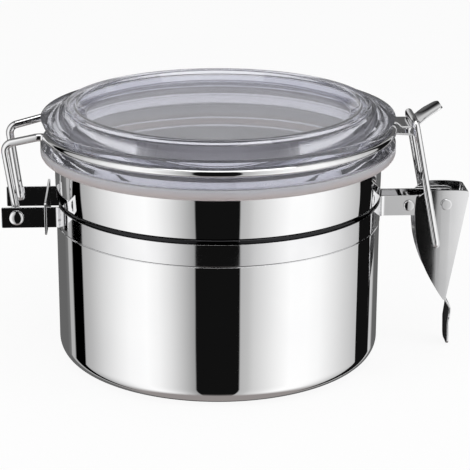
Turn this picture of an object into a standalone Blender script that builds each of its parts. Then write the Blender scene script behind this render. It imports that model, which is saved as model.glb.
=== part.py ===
"""Airtight canister: a drawn steel can with a clear plastic lid, a wire hinge and an over-centre latch.

Run with blender --background --python part.py, or from Blender's text editor.
Units are metres. +Z is up and the origin is at the middle of the can's foot, on the table.
The hinge is at -X, the latch at +X, and the front of the can faces -Y.
"""

import math

import bmesh
import bpy
from mathutils import Matrix, Vector

MM = 0.001

# Can
CAN_RADIUS = 62.5 * MM
CAN_HEIGHT = 82.9 * MM
SHEET = 0.7 * MM
BASE_CORNER_RADIUS = 7.0 * MM
RIM_REACH = 2.8 * MM
RIM_DEPTH = 3.0 * MM
NECK_BULGE = 0.2 * MM
TURNED_STEPS = 60

# Strap that clamps the neck, in two halves, and the channel it lies in
STRAP_BELOW_TOP = 20.3 * MM
STRAP_HEIGHT = 8.0 * MM
STRAP_SHEET = 0.7 * MM
CHANNEL_SLOPE = 0.5 * MM
CHANNEL_SHOWING = 1.6 * MM
STRAP_ARC_STEP = math.radians(4.0)
BEND_STEP = math.radians(18.0)

# Hinge ears at the strap's -X end. A reach is measured out from the can's wall.
EAR_SPREAD = 28.0 * MM
EAR_BEND_RADIUS = 2.0 * MM
HINGE_REACH = 14.5 * MM
EAR_BEYOND_PIN = 5.8 * MM
EAR_CORNER_RADIUS = 0.6 * MM
RETAINER_REACH = 3.5 * MM
RETAINER_SHEET = 0.8 * MM
RETAINER_MARGIN = 2.4 * MM
RETAINER_SIDE_MARGIN = 2.6 * MM
RETAINER_CORNER = 1.2 * MM

# Latch bracket at the strap's +X end
BRACKET_SPREAD = 9.2 * MM
BRACKET_BEND_RADIUS = 2.5 * MM
CLAMP_REACH = 11.4 * MM
CLAMP_SHAFT_RADIUS = 1.1 * MM
CLAMP_HEAD_RADIUS = 2.2 * MM
CLAMP_HEAD_HEIGHT = 0.7 * MM
PIVOT_REACH = 25.4 * MM
PIVOT_RISE = 0.9 * MM
BRACKET_BEYOND_PIVOT = 5.2 * MM
BRACKET_CORNER_RADIUS = 3.2 * MM

# Clearances
RUNNING = 0.25 * MM
SEAT = 0.3 * MM
OVERRUN = 5.0 * MM

# Gasket
GASKET_WEB = 1.1 * MM
GASKET_LIP_DEPTH = 2.7 * MM
GASKET_LIP = 2.3 * MM
GASKET_LIP_CLEARANCE = 0.4 * MM
GASKET_INNER_MARGIN = 0.4 * MM

# Lid. Each width runs inwards: flange edge to shoulder, shoulder to crest, crest to window.
LID_LOWER_FLANGE = 3.8 * MM
LID_GROOVE_DEPTH = 2.8 * MM
LID_FLANGE_EDGE = 3.4 * MM
LID_FLANGE_TUCK = 1.3 * MM
LID_LIP_TUCK = 2.0 * MM
LID_FLANGE_SETBACK = 0.3 * MM
LID_FLANGE_WIDTH = 7.5 * MM
LID_SHOULDER_WIDTH = 3.6 * MM
LID_CREST_WIDTH = 6.1 * MM
LID_CREST_RISE = 4.1 * MM
LID_SHOULDER_DROP = 1.2 * MM
LID_WINDOW_DROP = 3.5 * MM
LID_WALL = 2.6 * MM
LID_PLUG_DEPTH = 1.9 * MM
LID_PLUG_WIDTH = 1.6 * MM
LID_PLUG_SLOPE = math.radians(50.0)
LID_EDGE_ROUND = 0.9 * MM

# Wire ring round the lid, with its hinge legs
RING_WIRE = 3.0 * MM
RING_OFF_GROOVE = 0.4 * MM
LEG_OFF_EAR = 1.05 * MM
LEG_SPLAY = 2.2 * MM
ARM_SPLAY = 1.7 * MM
LEG_LEAN = 3.9 * MM
LEG_ARM_DROP = 3.0 * MM
LEG_CORNER_RADIUS = 3.4 * MM
LEG_HOOK_RADIUS = 2.1 * MM
RING_CORNER_RADIUS = 2.4 * MM
RING_TRIM_SHARE = 1.3
RING_ARC_STEP = math.radians(6.0)
HEAD_RADIUS = 2.7 * MM
HEAD_HEIGHT = 1.0 * MM
TUBE_SIDES_RESOLUTION = 2

# Catch on the lid's ring
CATCH_SHEET = 0.75 * MM
CATCH_WIDTH = 15.0 * MM
CATCH_LEAF_DIP = 1.0 * MM
CATCH_BEND_BEYOND_RING = 8.4 * MM
CATCH_BEND_RADIUS = 1.4 * MM
CATCH_LOWER_DIP = 0.6 * MM
TAB_LENGTH = 12.4 * MM
TAB_TAPER = 1.7 * MM
TAB_CORNER_RADIUS = 2.2 * MM
TAB_SLOPE = math.radians(33.0)

# Bail wire
BAIL_WIRE = 2.8 * MM
BAIL_SIDE_MARGIN = 1.1 * MM
BAIL_CORNER_RADIUS = 2.2 * MM
BAIL_HOOK_RADIUS = 2.0 * MM
BAIL_HOOK_INSIDE = 0.9 * MM
BAIL_HOLE_DROP = 16.2 * MM
BAIL_HOLE_INBOARD = 3.4 * MM

# Lever
LEVER_SHEET = 0.8 * MM
LEVER_ABOVE_PIVOT = 5.6 * MM
LEVER_INBOARD = 11.5 * MM
LEVER_OUTBOARD = 8.9 * MM
TAIL_DROP = 19.6 * MM
TAIL_WIDTH = 11.0 * MM
TAIL_SHEET = 0.8 * MM
TAIL_END_RADIUS = 2.4 * MM
TAIL_OFF_FLOOR = 0.6 * MM
TAIL_BEND_RADIUS = 4.0 * MM
PIN_RADIUS = 1.5 * MM
PIN_HEAD_RADIUS = 2.2 * MM
PIN_HEAD_HEIGHT = 0.45 * MM
ROUND_STEPS = 24

# The lever's edges: the share of its reach inboard (-) or outboard (+), then of its height above (+)
# or below (-) the pivot.
LEVER_TOP_SHARES = (
    (1.0, 0.62),
    (0.98, 0.84),
    (0.82, 0.93),
    (0.48, 0.98),
    (0.0, 1.0),
    (-0.46, 0.98),
    (-0.72, 0.8),
    (-0.9, 0.5),
)
LEVER_INBOARD_SHARES = (
    (-0.98, 0.17),
    (-1.0, -0.2),
    (-0.9, -0.43),
    (-0.63, -0.67),
    (-0.24, -0.88),
    (0.04, -1.0),
)
LEVER_FOOT_SHARE = 0.14
# The tail below the cheeks: the share of the outboard reach, then of the drop from the cheeks' foot
# to the tail's end.
TAIL_SHARES = ((0.13, -0.12), (0.16, 0.03), (0.42, 0.21), (0.33, 0.55), (0.36, 1.0))

# Worked out from the sizes above
STRAP_FOOT = CAN_HEIGHT - STRAP_BELOW_TOP - STRAP_HEIGHT
PIN_HEIGHT = STRAP_FOOT + STRAP_HEIGHT / 2
HINGE_OUT = CAN_RADIUS + HINGE_REACH
RETAINER_OUT = CAN_RADIUS + RETAINER_REACH
CLAMP_OUT = CAN_RADIUS + CLAMP_REACH
PIVOT_OUT = CAN_RADIUS + PIVOT_REACH
STRAP_RADIUS = CAN_RADIUS + SEAT / 2 - STRAP_SHEET / 2
CHANNEL_RADIUS = STRAP_RADIUS - STRAP_SHEET / 2 - SEAT
GASKET_SEAT = CAN_HEIGHT + SEAT
LID_SEAT = GASKET_SEAT + GASKET_WEB + SEAT
RIM_RADIUS = CAN_RADIUS + RIM_REACH
GASKET_RADIUS = RIM_RADIUS + GASKET_LIP_CLEARANCE + GASKET_LIP
GASKET_INNER_RADIUS = CAN_RADIUS - SHEET - GASKET_INNER_MARGIN
LID_FLANGE_RADIUS = GASKET_RADIUS - LID_FLANGE_SETBACK
LID_SHOULDER_RADIUS = LID_FLANGE_RADIUS - LID_FLANGE_WIDTH
LID_CREST_RADIUS = LID_SHOULDER_RADIUS - LID_SHOULDER_WIDTH
LID_WINDOW_RADIUS = LID_CREST_RADIUS - LID_CREST_WIDTH
LID_GROOVE_RADIUS = LID_FLANGE_RADIUS - LID_GROOVE_DEPTH
RING_RADIUS = LID_GROOVE_RADIUS + RING_OFF_GROOVE + RING_WIRE / 2
LEG_FOOT_SPREAD = EAR_SPREAD - STRAP_SHEET - RING_WIRE - 2 * LEG_OFF_EAR
LEG_TOP_SPREAD = LEG_FOOT_SPREAD + 2 * LEG_SPLAY
RING_OPENING = LEG_TOP_SPREAD + 2 * ARM_SPLAY
GROOVE_FOOT = LID_SEAT + LID_LOWER_FLANGE
GROOVE_TOP = GROOVE_FOOT + RING_WIRE + 2 * SEAT
RING_HEIGHT = (GROOVE_FOOT + GROOVE_TOP) / 2
FLANGE_TOP = GROOVE_TOP + LID_FLANGE_EDGE
LID_TOP = FLANGE_TOP + LID_CREST_RISE
WINDOW_TOP = LID_TOP - LID_WINDOW_DROP
PIVOT_HEIGHT = PIN_HEIGHT + PIVOT_RISE
LEVER_BELOW_PIVOT = PIVOT_HEIGHT - TAIL_OFF_FLOOR - TAIL_DROP
CLAMP_HALF = BRACKET_SPREAD / 2 + STRAP_SHEET / 2 + RUNNING + CLAMP_HEAD_HEIGHT
LEVER_INNER_HALF = CLAMP_HALF + 2 * RUNNING
LEVER_HALF = LEVER_INNER_HALF + LEVER_SHEET
BAIL_HOLE = Vector((PIVOT_OUT - BAIL_HOLE_INBOARD, 0, PIVOT_HEIGHT - BAIL_HOLE_DROP))
CATCH_INNER_RADIUS = RING_WIRE / 2 + RUNNING
CATCH_BEND_OUT = RING_RADIUS + CATCH_BEND_BEYOND_RING
TAB_END_WIDTH = CATCH_WIDTH - 2 * TAB_TAPER
BAIL_TOP_SPREAD = CATCH_WIDTH + BAIL_WIRE + 2 * BAIL_SIDE_MARGIN
FOLD_OUT = math.sqrt(RING_RADIUS**2 - (CATCH_WIDTH / 2) ** 2)
CATCH_TOP = RING_HEIGHT + CATCH_INNER_RADIUS + CATCH_SHEET
SEAT_LEAF_TOP = CATCH_TOP - CATCH_LEAF_DIP - CATCH_SHEET
BAIL_OFF_LEAF = BAIL_WIRE / 2 + RUNNING
BAIL_INBOARD = (BAIL_OFF_LEAF + CATCH_SHEET / 2) * math.tan(TAB_SLOPE / 2)
BAIL_TOP = Vector((CATCH_BEND_OUT - BAIL_INBOARD, 0, SEAT_LEAF_TOP + BAIL_OFF_LEAF))


def clear_scene():
    for obj in list(bpy.data.objects):
        bpy.data.objects.remove(obj, do_unlink=True)


def new_collection(name, hidden=False):
    collection = bpy.data.collections.new(name)
    collection.hide_render = hidden
    bpy.context.scene.collection.children.link(collection)
    return collection


def material(name, colour, metallic, roughness, alpha=1.0):
    made = bpy.data.materials.new(name)
    made.use_nodes = True
    shader = made.node_tree.nodes["Principled BSDF"]
    shader.inputs["Base Color"].default_value = (*colour, 1.0)
    shader.inputs["Metallic"].default_value = metallic
    shader.inputs["Roughness"].default_value = roughness
    shader.inputs["Alpha"].default_value = alpha
    made.diffuse_color = (*colour, alpha)
    return made


def arc(centre_x, centre_z, radius, start, end, count):
    """Points of an arc from one angle to another, both in degrees, ends included."""
    angles = (math.radians(start + (end - start) * i / count) for i in range(count + 1))
    return [(centre_x + radius * math.cos(a), centre_z + radius * math.sin(a)) for a in angles]


def rounded(points, radii, step=BEND_STEP):
    """The path through the points, with the corner at each inner point rounded to its radius."""
    path = [Vector(points[0])]
    for before, corner, after, radius in zip(points, points[1:], points[2:], radii):
        into = (Vector(corner) - Vector(before)).normalized()
        away = (Vector(after) - Vector(corner)).normalized()
        turn = into.angle(away)
        setback = radius * math.tan(turn / 2)
        start = Vector(corner) - into * setback
        side = (away - into * into.dot(away)).normalized()
        centre = start + side * radius
        count = max(2, math.ceil(turn / step))
        for i in range(count + 1):
            a = turn * i / count
            path.append(centre - side * radius * math.cos(a) + into * radius * math.sin(a))
    path.append(Vector(points[-1]))
    return path


def rounded_box(corners, count=4):
    """A box's outline from its corners, each a place and its radius, anticlockwise from the top right."""
    outline = []
    inward = ((-1, -1), (1, -1), (1, 1), (-1, 1))
    for quarter, ((x, y, radius), (across, up)) in enumerate(zip(corners, inward)):
        start = 90 * quarter
        outline += arc(x + across * radius, y + up * radius, radius, start, start + 90, count)
    return outline


def ribbon(path, thickness):
    """The closed outline of a sheet's edge whose middle follows a flat path."""
    left, right = [], []
    for i, point in enumerate(path):
        before = path[max(i - 1, 0)]
        after = path[min(i + 1, len(path) - 1)]
        if 0 < i < len(path) - 1:
            into = (point - before).normalized()
            away = (after - point).normalized()
        else:
            into = away = (after - before).normalized()
        along = (into + away).normalized()
        across = Vector((-along.y, along.x)) * (thickness / 2) / max(along.dot(into), 0.5)
        left.append(point + across)
        right.append(point - across)
    return left + right[::-1]


def link(obj, collection, look=None):
    collection.objects.link(obj)
    if look:
        obj.data.materials.clear()
        obj.data.materials.append(look)
    return obj


def made_mesh(obj, collection, look=None):
    """The object's evaluated shape as a mesh object in its place, with its caps welded on."""
    bpy.context.view_layer.update()
    evaluated = obj.evaluated_get(bpy.context.evaluated_depsgraph_get())
    mesh = bpy.data.meshes.new_from_object(evaluated)
    name, matrix = obj.name, obj.matrix_world.copy()
    bpy.data.objects.remove(obj, do_unlink=True)
    shape = bmesh.new()
    shape.from_mesh(mesh)
    bmesh.ops.remove_doubles(shape, verts=shape.verts, dist=SEAT / 1000)
    bmesh.ops.recalc_face_normals(shape, faces=shape.faces)
    shape.to_mesh(mesh)
    shape.free()
    mesh.name = name
    made = bpy.data.objects.new(name, mesh)
    made.matrix_world = matrix
    return link(made, collection, look)


def turned(name, profile, collection, look, steps=TURNED_STEPS, sideways_at=None):
    """A turned solid. The profile runs from the top of the axis down the outer side to its foot."""
    mesh = bpy.data.meshes.new(name)
    mesh.from_pydata([(x, 0, z) for x, z in profile], [(i, i + 1) for i in range(len(profile) - 1)], [])
    obj = link(bpy.data.objects.new(name, mesh), collection, look)
    screw = obj.modifiers.new("Turn", "SCREW")
    screw.axis = "Z"
    screw.steps = steps
    screw.render_steps = steps
    screw.use_merge_vertices = True
    screw.merge_threshold = SEAT / 1000
    screw.use_smooth_shade = True
    if sideways_at is not None:
        obj.location = sideways_at
        obj.rotation_euler = (math.radians(90), 0, 0)
    return obj


def plate(name, outline, thickness, collection, look=None, on_side=True, height=0):
    """A flat outline given thickness: in X and Z about y = 0, or lying flat with its foot at a height."""
    curve = bpy.data.curves.new(name, "CURVE")
    curve.dimensions = "2D"
    curve.fill_mode = "BOTH"
    curve.extrude = thickness / 2
    spline = curve.splines.new("POLY")
    spline.points.add(len(outline) - 1)
    for point, place in zip(spline.points, outline):
        point.co = (place[0], place[1], 0, 1)
    spline.use_cyclic_u = True
    obj = link(bpy.data.objects.new(name, curve), collection)
    if on_side:
        obj.rotation_euler = (math.radians(90), 0, 0)
    else:
        obj.location = (0, 0, height + thickness / 2)
    return made_mesh(obj, collection, look)


def wire(name, path, diameter, collection, look):
    curve = bpy.data.curves.new(name, "CURVE")
    curve.dimensions = "3D"
    curve.bevel_depth = diameter / 2
    curve.bevel_resolution = TUBE_SIDES_RESOLUTION
    curve.use_fill_caps = True
    spline = curve.splines.new("POLY")
    spline.points.add(len(path) - 1)
    for point, place in zip(spline.points, path):
        point.co = (*place, 1)
    return made_mesh(link(bpy.data.objects.new(name, curve), collection), collection, look)


def rod(name, place, radius, length, collection, look=None):
    """A round rod along Y, about its middle."""
    mesh = bpy.data.meshes.new(name)
    shape = bmesh.new()
    bmesh.ops.create_cone(
        shape, cap_ends=True, segments=ROUND_STEPS, radius1=radius, radius2=radius, depth=length
    )
    shape.to_mesh(mesh)
    shape.free()
    obj = link(bpy.data.objects.new(name, mesh), collection, look)
    obj.location = place
    obj.rotation_euler = (math.radians(90), 0, 0)
    return obj


def block(name, low, high, collection, look=None):
    mesh = bpy.data.meshes.new(name)
    shape = bmesh.new()
    bmesh.ops.create_cube(shape, size=1)
    size = Vector(high) - Vector(low)
    bmesh.ops.scale(shape, vec=size, verts=shape.verts)
    shape.to_mesh(mesh)
    shape.free()
    obj = link(bpy.data.objects.new(name, mesh), collection, look)
    obj.location = (Vector(low) + Vector(high)) / 2
    return obj


def boolean(obj, other, operation="DIFFERENCE"):
    modifier = obj.modifiers.new(f"{operation.title()} {other.name}", "BOOLEAN")
    modifier.operation = operation
    modifier.object = other
    other.hide_render = True
    other.display_type = "WIRE"


def smooth(obj, angle=math.radians(35)):
    obj.data.shade_smooth()
    obj.data.set_sharp_from_angle(angle=angle)


def can_body(parts, steel):
    """The drawn can: a flat foot, a channel for the strap and a rolled rim."""
    foot = CAN_RADIUS - BASE_CORNER_RADIUS
    inside = CAN_RADIUS - SHEET
    channel_foot = STRAP_FOOT - SEAT
    channel_top = STRAP_FOOT + STRAP_HEIGHT + CHANNEL_SHOWING
    rim_round = RIM_DEPTH / 2
    rim_foot = CAN_HEIGHT - RIM_DEPTH
    neck_middle = (channel_top + rim_foot) / 2
    inner = [(0, SHEET), *arc(foot, BASE_CORNER_RADIUS, BASE_CORNER_RADIUS - SHEET, -90, 0, 5)]
    inner += [
        (inside, channel_foot - CHANNEL_SLOPE),
        (CHANNEL_RADIUS - SHEET, channel_foot),
        (CHANNEL_RADIUS - SHEET, channel_top),
        (inside, channel_top + CHANNEL_SLOPE),
        (inside + NECK_BULGE, neck_middle),
        (inside, rim_foot),
    ]
    rim = arc(CAN_RADIUS, CAN_HEIGHT - SHEET, SHEET, 180, 90, 2)
    rim += arc(RIM_RADIUS - rim_round, CAN_HEIGHT - rim_round, rim_round, 90, -90, 6)
    outer = [
        (CAN_RADIUS, rim_foot),
        (CAN_RADIUS + NECK_BULGE, neck_middle),
        (CAN_RADIUS, channel_top + CHANNEL_SLOPE),
        (CHANNEL_RADIUS, channel_top),
        (CHANNEL_RADIUS, channel_foot),
        (CAN_RADIUS, channel_foot - CHANNEL_SLOPE),
    ]
    outer += [*arc(foot, BASE_CORNER_RADIUS, BASE_CORNER_RADIUS, 0, -90, 7), (0, 0)]
    return turned("can_body", inner + rim + outer, parts, steel)


def strap_path():
    """The front half's middle line, from its hinge ear round the can's -Y side to its latch end."""
    ear_y = -EAR_SPREAD / 2
    bracket_y = -BRACKET_SPREAD / 2
    path = [Vector((-HINGE_OUT - EAR_BEYOND_PIN, ear_y))]
    ear_centre_y = ear_y - EAR_BEND_RADIUS
    ear_centre_x = -math.sqrt((STRAP_RADIUS + EAR_BEND_RADIUS) ** 2 - ear_centre_y**2)
    ear_centre = Vector((ear_centre_x, ear_centre_y))
    tangent = math.atan2(ear_centre_y, ear_centre_x) % math.tau
    turn = 1.5 * math.pi - tangent
    count = math.ceil(turn / BEND_STEP)
    for i in range(count):
        a = math.pi / 2 - turn * i / count
        path.append(ear_centre + EAR_BEND_RADIUS * Vector((math.cos(a), math.sin(a))))
    bend_y = bracket_y - BRACKET_BEND_RADIUS
    bend_x = math.sqrt((STRAP_RADIUS + BRACKET_BEND_RADIUS) ** 2 - bend_y**2)
    bend_centre = Vector((bend_x, bend_y))
    leave = math.tau + math.atan2(bend_y, bend_x)
    count = math.ceil((leave - tangent) / STRAP_ARC_STEP)
    for i in range(count + 1):
        a = tangent + (leave - tangent) * i / count
        path.append(STRAP_RADIUS * Vector((math.cos(a), math.sin(a))))
    turn = leave - math.pi - math.pi / 2
    count = math.ceil(turn / BEND_STEP)
    for i in range(1, count + 1):
        a = leave - math.pi - turn * i / count
        path.append(bend_centre + BRACKET_BEND_RADIUS * Vector((math.cos(a), math.sin(a))))
    path.append(Vector((PIVOT_OUT + BRACKET_BEYOND_PIVOT, bracket_y)))
    return path


def straps(parts, cutters, steel):
    """Two mirrored halves, each a hinge ear, half the hoop and one latch bracket plate."""
    outline = ribbon(strap_path(), STRAP_SHEET)
    holes = (
        ("hinge", -HINGE_OUT, PIN_HEIGHT, RING_WIRE / 2 + RUNNING),
        ("clamp", CLAMP_OUT, PIN_HEIGHT, CLAMP_SHAFT_RADIUS + RUNNING),
        ("pivot", PIVOT_OUT, PIVOT_HEIGHT, PIN_RADIUS + RUNNING),
    )
    left = -HINGE_OUT - EAR_BEYOND_PIN
    right = PIVOT_OUT + BRACKET_BEYOND_PIVOT
    corners = (
        (right, STRAP_FOOT + STRAP_HEIGHT, BRACKET_CORNER_RADIUS),
        (left, STRAP_FOOT + STRAP_HEIGHT, EAR_CORNER_RADIUS),
        (left, STRAP_FOOT, EAR_CORNER_RADIUS),
        (right, STRAP_FOOT, BRACKET_CORNER_RADIUS),
    )
    ends = plate("strap_ends", rounded_box(corners), 3 * CAN_RADIUS, cutters)
    halves = []
    for name, side in (("strap_front", 1), ("strap_back", -1)):
        half = plate(
            name, [(x, y * side) for x, y in outline], STRAP_HEIGHT, parts, steel, False, STRAP_FOOT
        )
        boolean(half, ends, "INTERSECT")
        for hole, x, z, radius in holes:
            boolean(half, rod(f"{name}_{hole}_hole", (x, 0, z), radius, EAR_SPREAD + 2 * OVERRUN, cutters))
        smooth(half)
        halves.append(half)
    return halves


def ear_retainer(parts, cutters, steel):
    """The flat plate that both hinge ears pass through, which pinches the strap together."""
    half_width = EAR_SPREAD / 2 + STRAP_SHEET / 2 + RETAINER_SIDE_MARGIN
    half_height = STRAP_HEIGHT / 2 + RETAINER_MARGIN
    quarters = ((1, 1), (-1, 1), (-1, -1), (1, -1))
    corners = [(x * half_width, y * half_height, RETAINER_CORNER) for x, y in quarters]
    made = plate("ear_retainer", rounded_box(corners), RETAINER_SHEET, parts, steel)
    made.rotation_euler = (math.radians(90), 0, math.radians(90))
    made.location = (-RETAINER_OUT, 0, PIN_HEIGHT)
    for side in (-1, 1):
        ear_side = side * EAR_SPREAD / 2 - STRAP_SHEET / 2
        low = Vector((-RETAINER_OUT - OVERRUN, ear_side - SEAT, STRAP_FOOT - SEAT))
        size = Vector((2 * OVERRUN, STRAP_SHEET + 2 * SEAT, STRAP_HEIGHT + 2 * SEAT))
        boolean(made, block(f"ear_slot_{side}", low, low + size, cutters))
    return made


def rivet(name, place, shaft, grip, head, head_height, parts, steel):
    """A rivet along Y: a shaft as long as its grip, with a low round head at each end."""
    edge = head_height / 2
    half = grip / 2
    top = half + head_height
    side = [(0, top), (head - edge, top), (head, half + edge), (head, half), (shaft, half)]
    side += [(r, -y) for r, y in reversed(side)]
    return turned(name, side, parts, steel, ROUND_STEPS, place)


def clamp_spacer(parts, steel):
    """The tube between the bracket plates, which the clamp rivet runs through."""
    half = BRACKET_SPREAD / 2 - STRAP_SHEET / 2 - SEAT
    bore = CLAMP_SHAFT_RADIUS + RUNNING
    outer = CLAMP_HEAD_RADIUS
    profile = [(bore, half), (outer, half), (outer, -half), (bore, -half), (bore, half)]
    return turned("clamp_spacer", profile, parts, steel, ROUND_STEPS, (CLAMP_OUT, 0, PIN_HEIGHT))


def lid_shell(parts, cutters, clear):
    """The clear lid: a raised rim round a sunken window, a groove for the ring and a short plug."""
    underside = WINDOW_TOP - LID_WALL
    ridge_hollow = LID_TOP - LID_WALL
    edge = LID_EDGE_ROUND
    plug_top = GASKET_INNER_RADIUS - SEAT
    plug_foot = LID_SEAT - LID_PLUG_DEPTH
    plug_outer = plug_top - LID_PLUG_DEPTH * math.tan(LID_PLUG_SLOPE)
    hollow = plug_outer - LID_PLUG_WIDTH
    inner = [
        (0, underside),
        (LID_WINDOW_RADIUS, underside),
        (LID_WINDOW_RADIUS + edge, underside + edge),
        (LID_CREST_RADIUS - LID_WALL, ridge_hollow - edge),
        (LID_CREST_RADIUS - edge, ridge_hollow),
        (hollow, ridge_hollow - edge),
        (hollow, plug_foot),
    ]
    plug = [(plug_outer, plug_foot), (plug_top, LID_SEAT), (GASKET_RADIUS - edge, LID_SEAT)]
    flange = arc(LID_FLANGE_RADIUS - edge, FLANGE_TOP - edge, edge, 60, 0, 2)
    outer = [
        (0, WINDOW_TOP),
        (LID_WINDOW_RADIUS, WINDOW_TOP),
        (LID_WINDOW_RADIUS + edge, WINDOW_TOP + edge / 2),
        ((LID_WINDOW_RADIUS + LID_CREST_RADIUS) / 2, LID_TOP - edge),
        (LID_CREST_RADIUS - edge, LID_TOP - edge / 5),
        (LID_CREST_RADIUS, LID_TOP),
        (LID_CREST_RADIUS + edge, LID_TOP - edge / 5),
        (LID_SHOULDER_RADIUS, LID_TOP - LID_SHOULDER_DROP),
        *flange,
        (LID_FLANGE_RADIUS - LID_FLANGE_TUCK, GROOVE_TOP),
        (LID_GROOVE_RADIUS, GROOVE_TOP),
        (LID_GROOVE_RADIUS, GROOVE_FOOT),
        (LID_FLANGE_RADIUS - LID_LIP_TUCK, GROOVE_FOOT),
        (GASKET_RADIUS, LID_SEAT + edge / 2),
    ]
    profile = outer + plug[::-1] + inner[::-1]
    shell = turned("lid_shell", profile, parts, clear)
    reach = CATCH_INNER_RADIUS + CATCH_SHEET + SEAT
    half = CATCH_WIDTH / 2 + SEAT
    pocket = block(
        "catch_pocket",
        (FOLD_OUT - reach, -half, RING_HEIGHT - reach),
        (RING_RADIUS + OVERRUN, half, RING_HEIGHT + reach),
        cutters,
    )
    boolean(shell, pocket)
    return shell


def lid_gasket(parts, silicone):
    """The soft ring: a web on top of the rim and a lip outside it."""
    lip_inner = RIM_RADIUS + GASKET_LIP_CLEARANCE
    lip_foot = CAN_HEIGHT - GASKET_LIP_DEPTH
    web_top = GASKET_SEAT + GASKET_WEB
    edge = GASKET_WEB / 3
    profile = [
        (GASKET_INNER_RADIUS, GASKET_SEAT),
        (GASKET_INNER_RADIUS, web_top),
        (GASKET_RADIUS - edge, web_top),
        (GASKET_RADIUS, web_top - edge),
        (GASKET_RADIUS, lip_foot + edge),
        (GASKET_RADIUS - edge, lip_foot),
        (lip_inner, lip_foot),
        (lip_inner, GASKET_SEAT),
        (GASKET_INNER_RADIUS, GASKET_SEAT),
    ]
    return turned("lid_gasket", profile, parts, silicone)


def ring_path():
    """The ring wire's middle line, from its front hook round the lid to its back hook."""
    mouth_y = RING_OPENING / 2
    leg_y = LEG_TOP_SPREAD / 2
    foot_y = LEG_FOOT_SPREAD / 2
    hook_y = EAR_SPREAD / 2 + STRAP_SHEET / 2 + RUNNING + HEAD_HEIGHT / 2
    opening = math.pi - math.asin(mouth_y / RING_RADIUS)
    trimmed = opening - RING_TRIM_SHARE * RING_CORNER_RADIUS / RING_RADIUS
    count = math.ceil(2 * trimmed / RING_ARC_STEP)
    angles = [trimmed * (2 * i / count - 1) for i in range(count + 1)]
    ring = [Vector((RING_RADIUS * math.cos(a), RING_RADIUS * math.sin(a), RING_HEIGHT)) for a in angles]
    front = [
        (-HINGE_OUT, -hook_y, PIN_HEIGHT),
        (-HINGE_OUT, -foot_y, PIN_HEIGHT),
        (-HINGE_OUT - LEG_LEAN, -leg_y, RING_HEIGHT - LEG_ARM_DROP),
        (-GASKET_RADIUS - SEAT, -mouth_y, RING_HEIGHT),
        (RING_RADIUS * math.cos(opening), -mouth_y, RING_HEIGHT),
        ring[0],
    ]
    radii = [LEG_HOOK_RADIUS, LEG_CORNER_RADIUS, RING_CORNER_RADIUS, RING_CORNER_RADIUS]
    hinge = rounded(front, radii)[:-1]
    return hinge + ring + [Vector((p.x, -p.y, p.z)) for p in reversed(hinge)]


def lid_ring(parts, cutters, steel):
    """The wire ring in the lid's groove, with the two hinge legs and their upset heads."""
    made = wire("lid_ring_wire", ring_path(), RING_WIRE, parts, steel)
    for name, side in (("front", -1), ("back", 1)):
        y = side * (EAR_SPREAD / 2 + STRAP_SHEET / 2 + RUNNING + HEAD_HEIGHT / 2)
        head = rod(f"{name}_head", (-HINGE_OUT, y, PIN_HEIGHT), HEAD_RADIUS, HEAD_HEIGHT, cutters)
        boolean(made, head, "UNION")
    smooth(made)
    return made


def lid_catch(parts, cutters, steel):
    """A strip folded round the ring wire: its upper leaf dips to a seat and rises into a finger tab."""
    middle = CATCH_INNER_RADIUS + CATCH_SHEET / 2
    leaf = SEAT_LEAF_TOP - CATCH_SHEET / 2
    fold = [Vector(p) for p in arc(FOLD_OUT, RING_HEIGHT, middle, 270, 90, 9)]
    fold += [Vector(p) for p in arc(RING_RADIUS, RING_HEIGHT, middle, 90, 45, 2)]
    foot = RING_HEIGHT - middle
    drop = fold[-1].y - leaf
    seat_start = Vector((fold[-1].x + drop, leaf))
    bend = Vector((CATCH_BEND_OUT, leaf))
    tip = bend + TAB_LENGTH * Vector((math.cos(TAB_SLOPE), math.sin(TAB_SLOPE)))
    upper = rounded([fold[-1], seat_start, bend, tip], [CATCH_BEND_RADIUS, CATCH_BEND_RADIUS])
    path = [Vector((CATCH_BEND_OUT, foot - CATCH_LOWER_DIP)), *fold[:-1], *upper]
    made = plate("lid_catch", ribbon(path, CATCH_SHEET), CATCH_WIDTH, parts, steel)
    end_x = tip.x + CATCH_SHEET / 2
    half = CATCH_WIDTH / 2 + SEAT
    end = TAB_END_WIDTH / 2
    back = FOLD_OUT - CATCH_WIDTH
    corners = [(back, -half), (CATCH_BEND_OUT, -half), (end_x, -end)]
    corners += [(x, -y) for x, y in reversed(corners)]
    outline = rounded(corners, [TAB_CORNER_RADIUS] * (len(corners) - 2))
    low = foot - CATCH_WIDTH / 2
    shape = plate("tab_shape", outline, 2 * CATCH_WIDTH, cutters, None, False, low)
    boolean(made, shape, "INTERSECT")
    smooth(made)
    return made


def latch_bail(parts, steel):
    """The bail: a bar across the catch, two legs and two hooks into the lever."""
    hook_y = LEVER_HALF + RUNNING + PIN_HEAD_HEIGHT + BAIL_WIRE / 2
    end_y = LEVER_INNER_HALF - BAIL_HOOK_INSIDE
    top_y = BAIL_TOP_SPREAD / 2
    points = [
        (BAIL_HOLE.x, -end_y, BAIL_HOLE.z),
        (BAIL_HOLE.x, -hook_y, BAIL_HOLE.z),
        (BAIL_TOP.x, -top_y, BAIL_TOP.z),
        (BAIL_TOP.x, top_y, BAIL_TOP.z),
        (BAIL_HOLE.x, hook_y, BAIL_HOLE.z),
        (BAIL_HOLE.x, end_y, BAIL_HOLE.z),
    ]
    radii = [BAIL_HOOK_RADIUS, BAIL_CORNER_RADIUS, BAIL_CORNER_RADIUS, BAIL_HOOK_RADIUS]
    made = wire("latch_bail", rounded(points, radii), BAIL_WIRE, parts, steel)
    smooth(made)
    return made


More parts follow.
